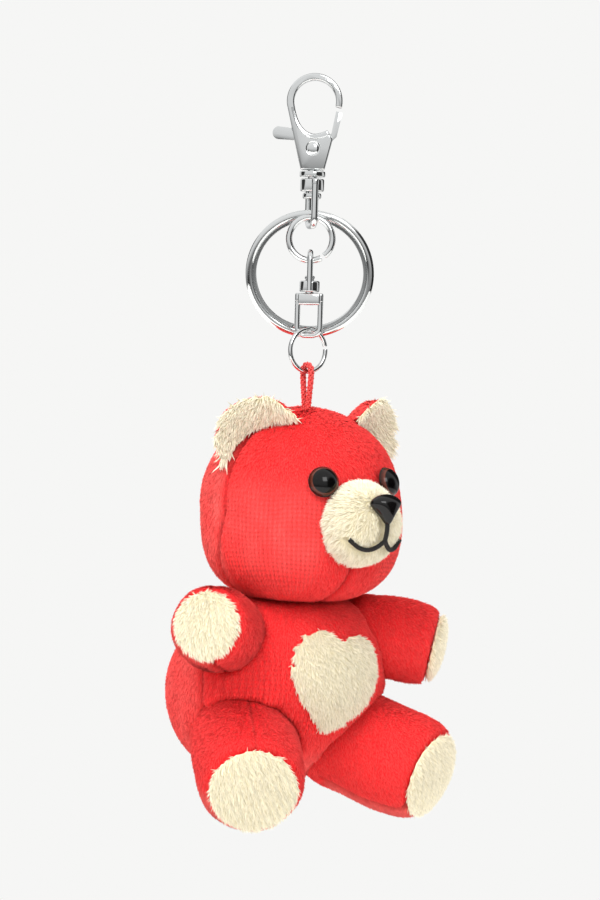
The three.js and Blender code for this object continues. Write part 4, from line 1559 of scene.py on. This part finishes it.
def braided(path, name):  # carriers wound both ways that pass over and under each other
    count = int(sum((b - a).length for a, b in zip(path, path[1:])) * braid["perMm"])
    line = []
    for i in range(count + 1):
        t = i / count * (len(path) - 1)
        k = min(int(t), len(path) - 2)
        line.append(passing(path, k, t - k))

    def sides(along):
        side = Vector((1, 0, 0))
        return side, along.cross(side).normalized()

    def carrier(way, s):
        def wayOf(far):
            turn = 2 * math.pi * far / braid["pitch"]
            sway = way * braid["sway"] * math.cos(braid["carriers"] * turn)
            return way * turn + 2 * math.pi * s / braid["carriers"], braid["radius"] + sway
        return wire(wound(line, sides, wayOf), braid["strand"], sides=1)

    strands = [carrier(way, s) for way in (1, -1) for s in range(braid["carriers"])]
    whole = joined([*strands, wire(line, braid["radius"] * 0.65, sides=2)])
    whole.name = name
    smooth(whole, 70)
    return whole


def buildCord():
    x, y, low = lineAt.x / mm, lineAt.y / mm, lineAt.z / mm
    over = 1.55  # the cord's middle passes this far over the wire's own middle
    half = [
        (0.7, -79.0), (0.72, -77.4), (0.76, -75.9), (1.1, -73.0), (1.5, -70.0), (1.6, low),
        (1.1, low + over * 0.78),
    ]
    down = [Vector((x, y - w, z)) for w, z in half]
    up = [Vector((x, y + w, z)) for w, z in reversed(half)]
    loop = braided([*down, Vector((x, y, low + over)), *up], "cordLoop")
    loop.data.materials.clear()
    loop.data.materials.append(coralYarn)
    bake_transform(loop)
    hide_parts("hanging_cord")
    loop.name = "hanging_cord_braid"

    knotPath = []
    for i in range(25):
        a = 2 * math.pi * i / 24
        knotPath.append(Vector((
            x + 1.25 * math.sin(a) + 0.7 * math.sin(2 * a),
            y + 1.25 * math.cos(a) - 0.7 * math.cos(2 * a), -80.2 - 0.75 * math.sin(3 * a),
        )))
    knot = braided(knotPath, "cordKnot")
    finishPiece(knot, "cord_knot_braid", "head", coralYarn, "cord_knot")


# Inside parts

def fromCad(node, name):  # a merged copy of a CAD part, to be worked further
    makeActive(frame["nodes"][node])
    frame["nodes"][node].hide_viewport = False
    copy = frame["nodes"][node].copy()
    copy.data = copy.data.copy()
    bpy.context.collection.objects.link(copy)
    copy.parent = None
    copy.matrix_world = frame["nodes"][node].matrix_world.copy()
    copy.name = name
    copy.hide_render = False
    settle(copy)
    outwards(copy)
    return copy


def buildStuffing(node, body, slack):  # a lump of fill that stands a little clear of its cover
    lump = fromCad(node, node + "_fill")
    remesh(lump, 1.6)
    modify(lump, "SMOOTH", factor=0.5, iterations=6)
    roughen(lump, 0.6, 4.0)
    normals = [point.normal.copy() for point in lump.data.vertices]
    for point, normal in zip(lump.data.vertices, normals):
        point.co -= normal * slack * mm
        p = point.co / mm
        if body == "torso" and insideOf(p, head, 4.0) < 1:  # room for the chin when the head nods
            point.co = (head["at"] + (p - head["at"]) / insideOf(p, head, 4.0)) * mm
    makeActive(lump)
    bpy.ops.object.shade_smooth()
    finishPiece(lump, node + "_fill", body, fibreFill, node)


def buildWashers():
    for node in ("eye_washer_right", "eye_washer_left", "nose_washer"):
        washer = fromCad(node, node + "_moulded")
        modify(washer, "BEVEL", width=0.15 * mm, segments=2, limit_method="ANGLE")
        smooth(washer)
        finishPiece(washer, node + "_moulded", "head", washerPlastic, node)


velour["tuft"] = makeTuft("velourTuft", 0.0)
shag["tuft"] = makeTuft("shagTuft", 0.45)
buildHead()
print("head ready")
buildMuzzle()
body = buildTorso()
print("torso ready")
buildHeart(body)
for index, side in enumerate((right, left)):
    buildEar(side, 51 + 4 * index)
    buildEye(side)
print("face ready")
for index, (kind, side) in enumerate([(kind, side) for kind in limbs for side in (right, left)]):
    buildLimb(kind, side, 21 + 3 * index)
print("limbs ready")
buildNose()
buildMouth()
buildCord()
for node, body, slack in (
    ("head_stuffing", "head", 0.6), ("muzzle_stuffing", "head", 0.4), ("torso_stuffing", "torso", 0.8),
    ("arm_stuffing_right", "arm_right", 1.8), ("arm_stuffing_left", "arm_left", 1.8),
    ("leg_stuffing_right", "leg_right", 1.0), ("leg_stuffing_left", "leg_left", 1.0),
):
    buildStuffing(node, body, slack)
buildWashers()
for pile in (velour, shag):
    bpy.data.objects.remove(pile["tuft"])
print("all parts ready")
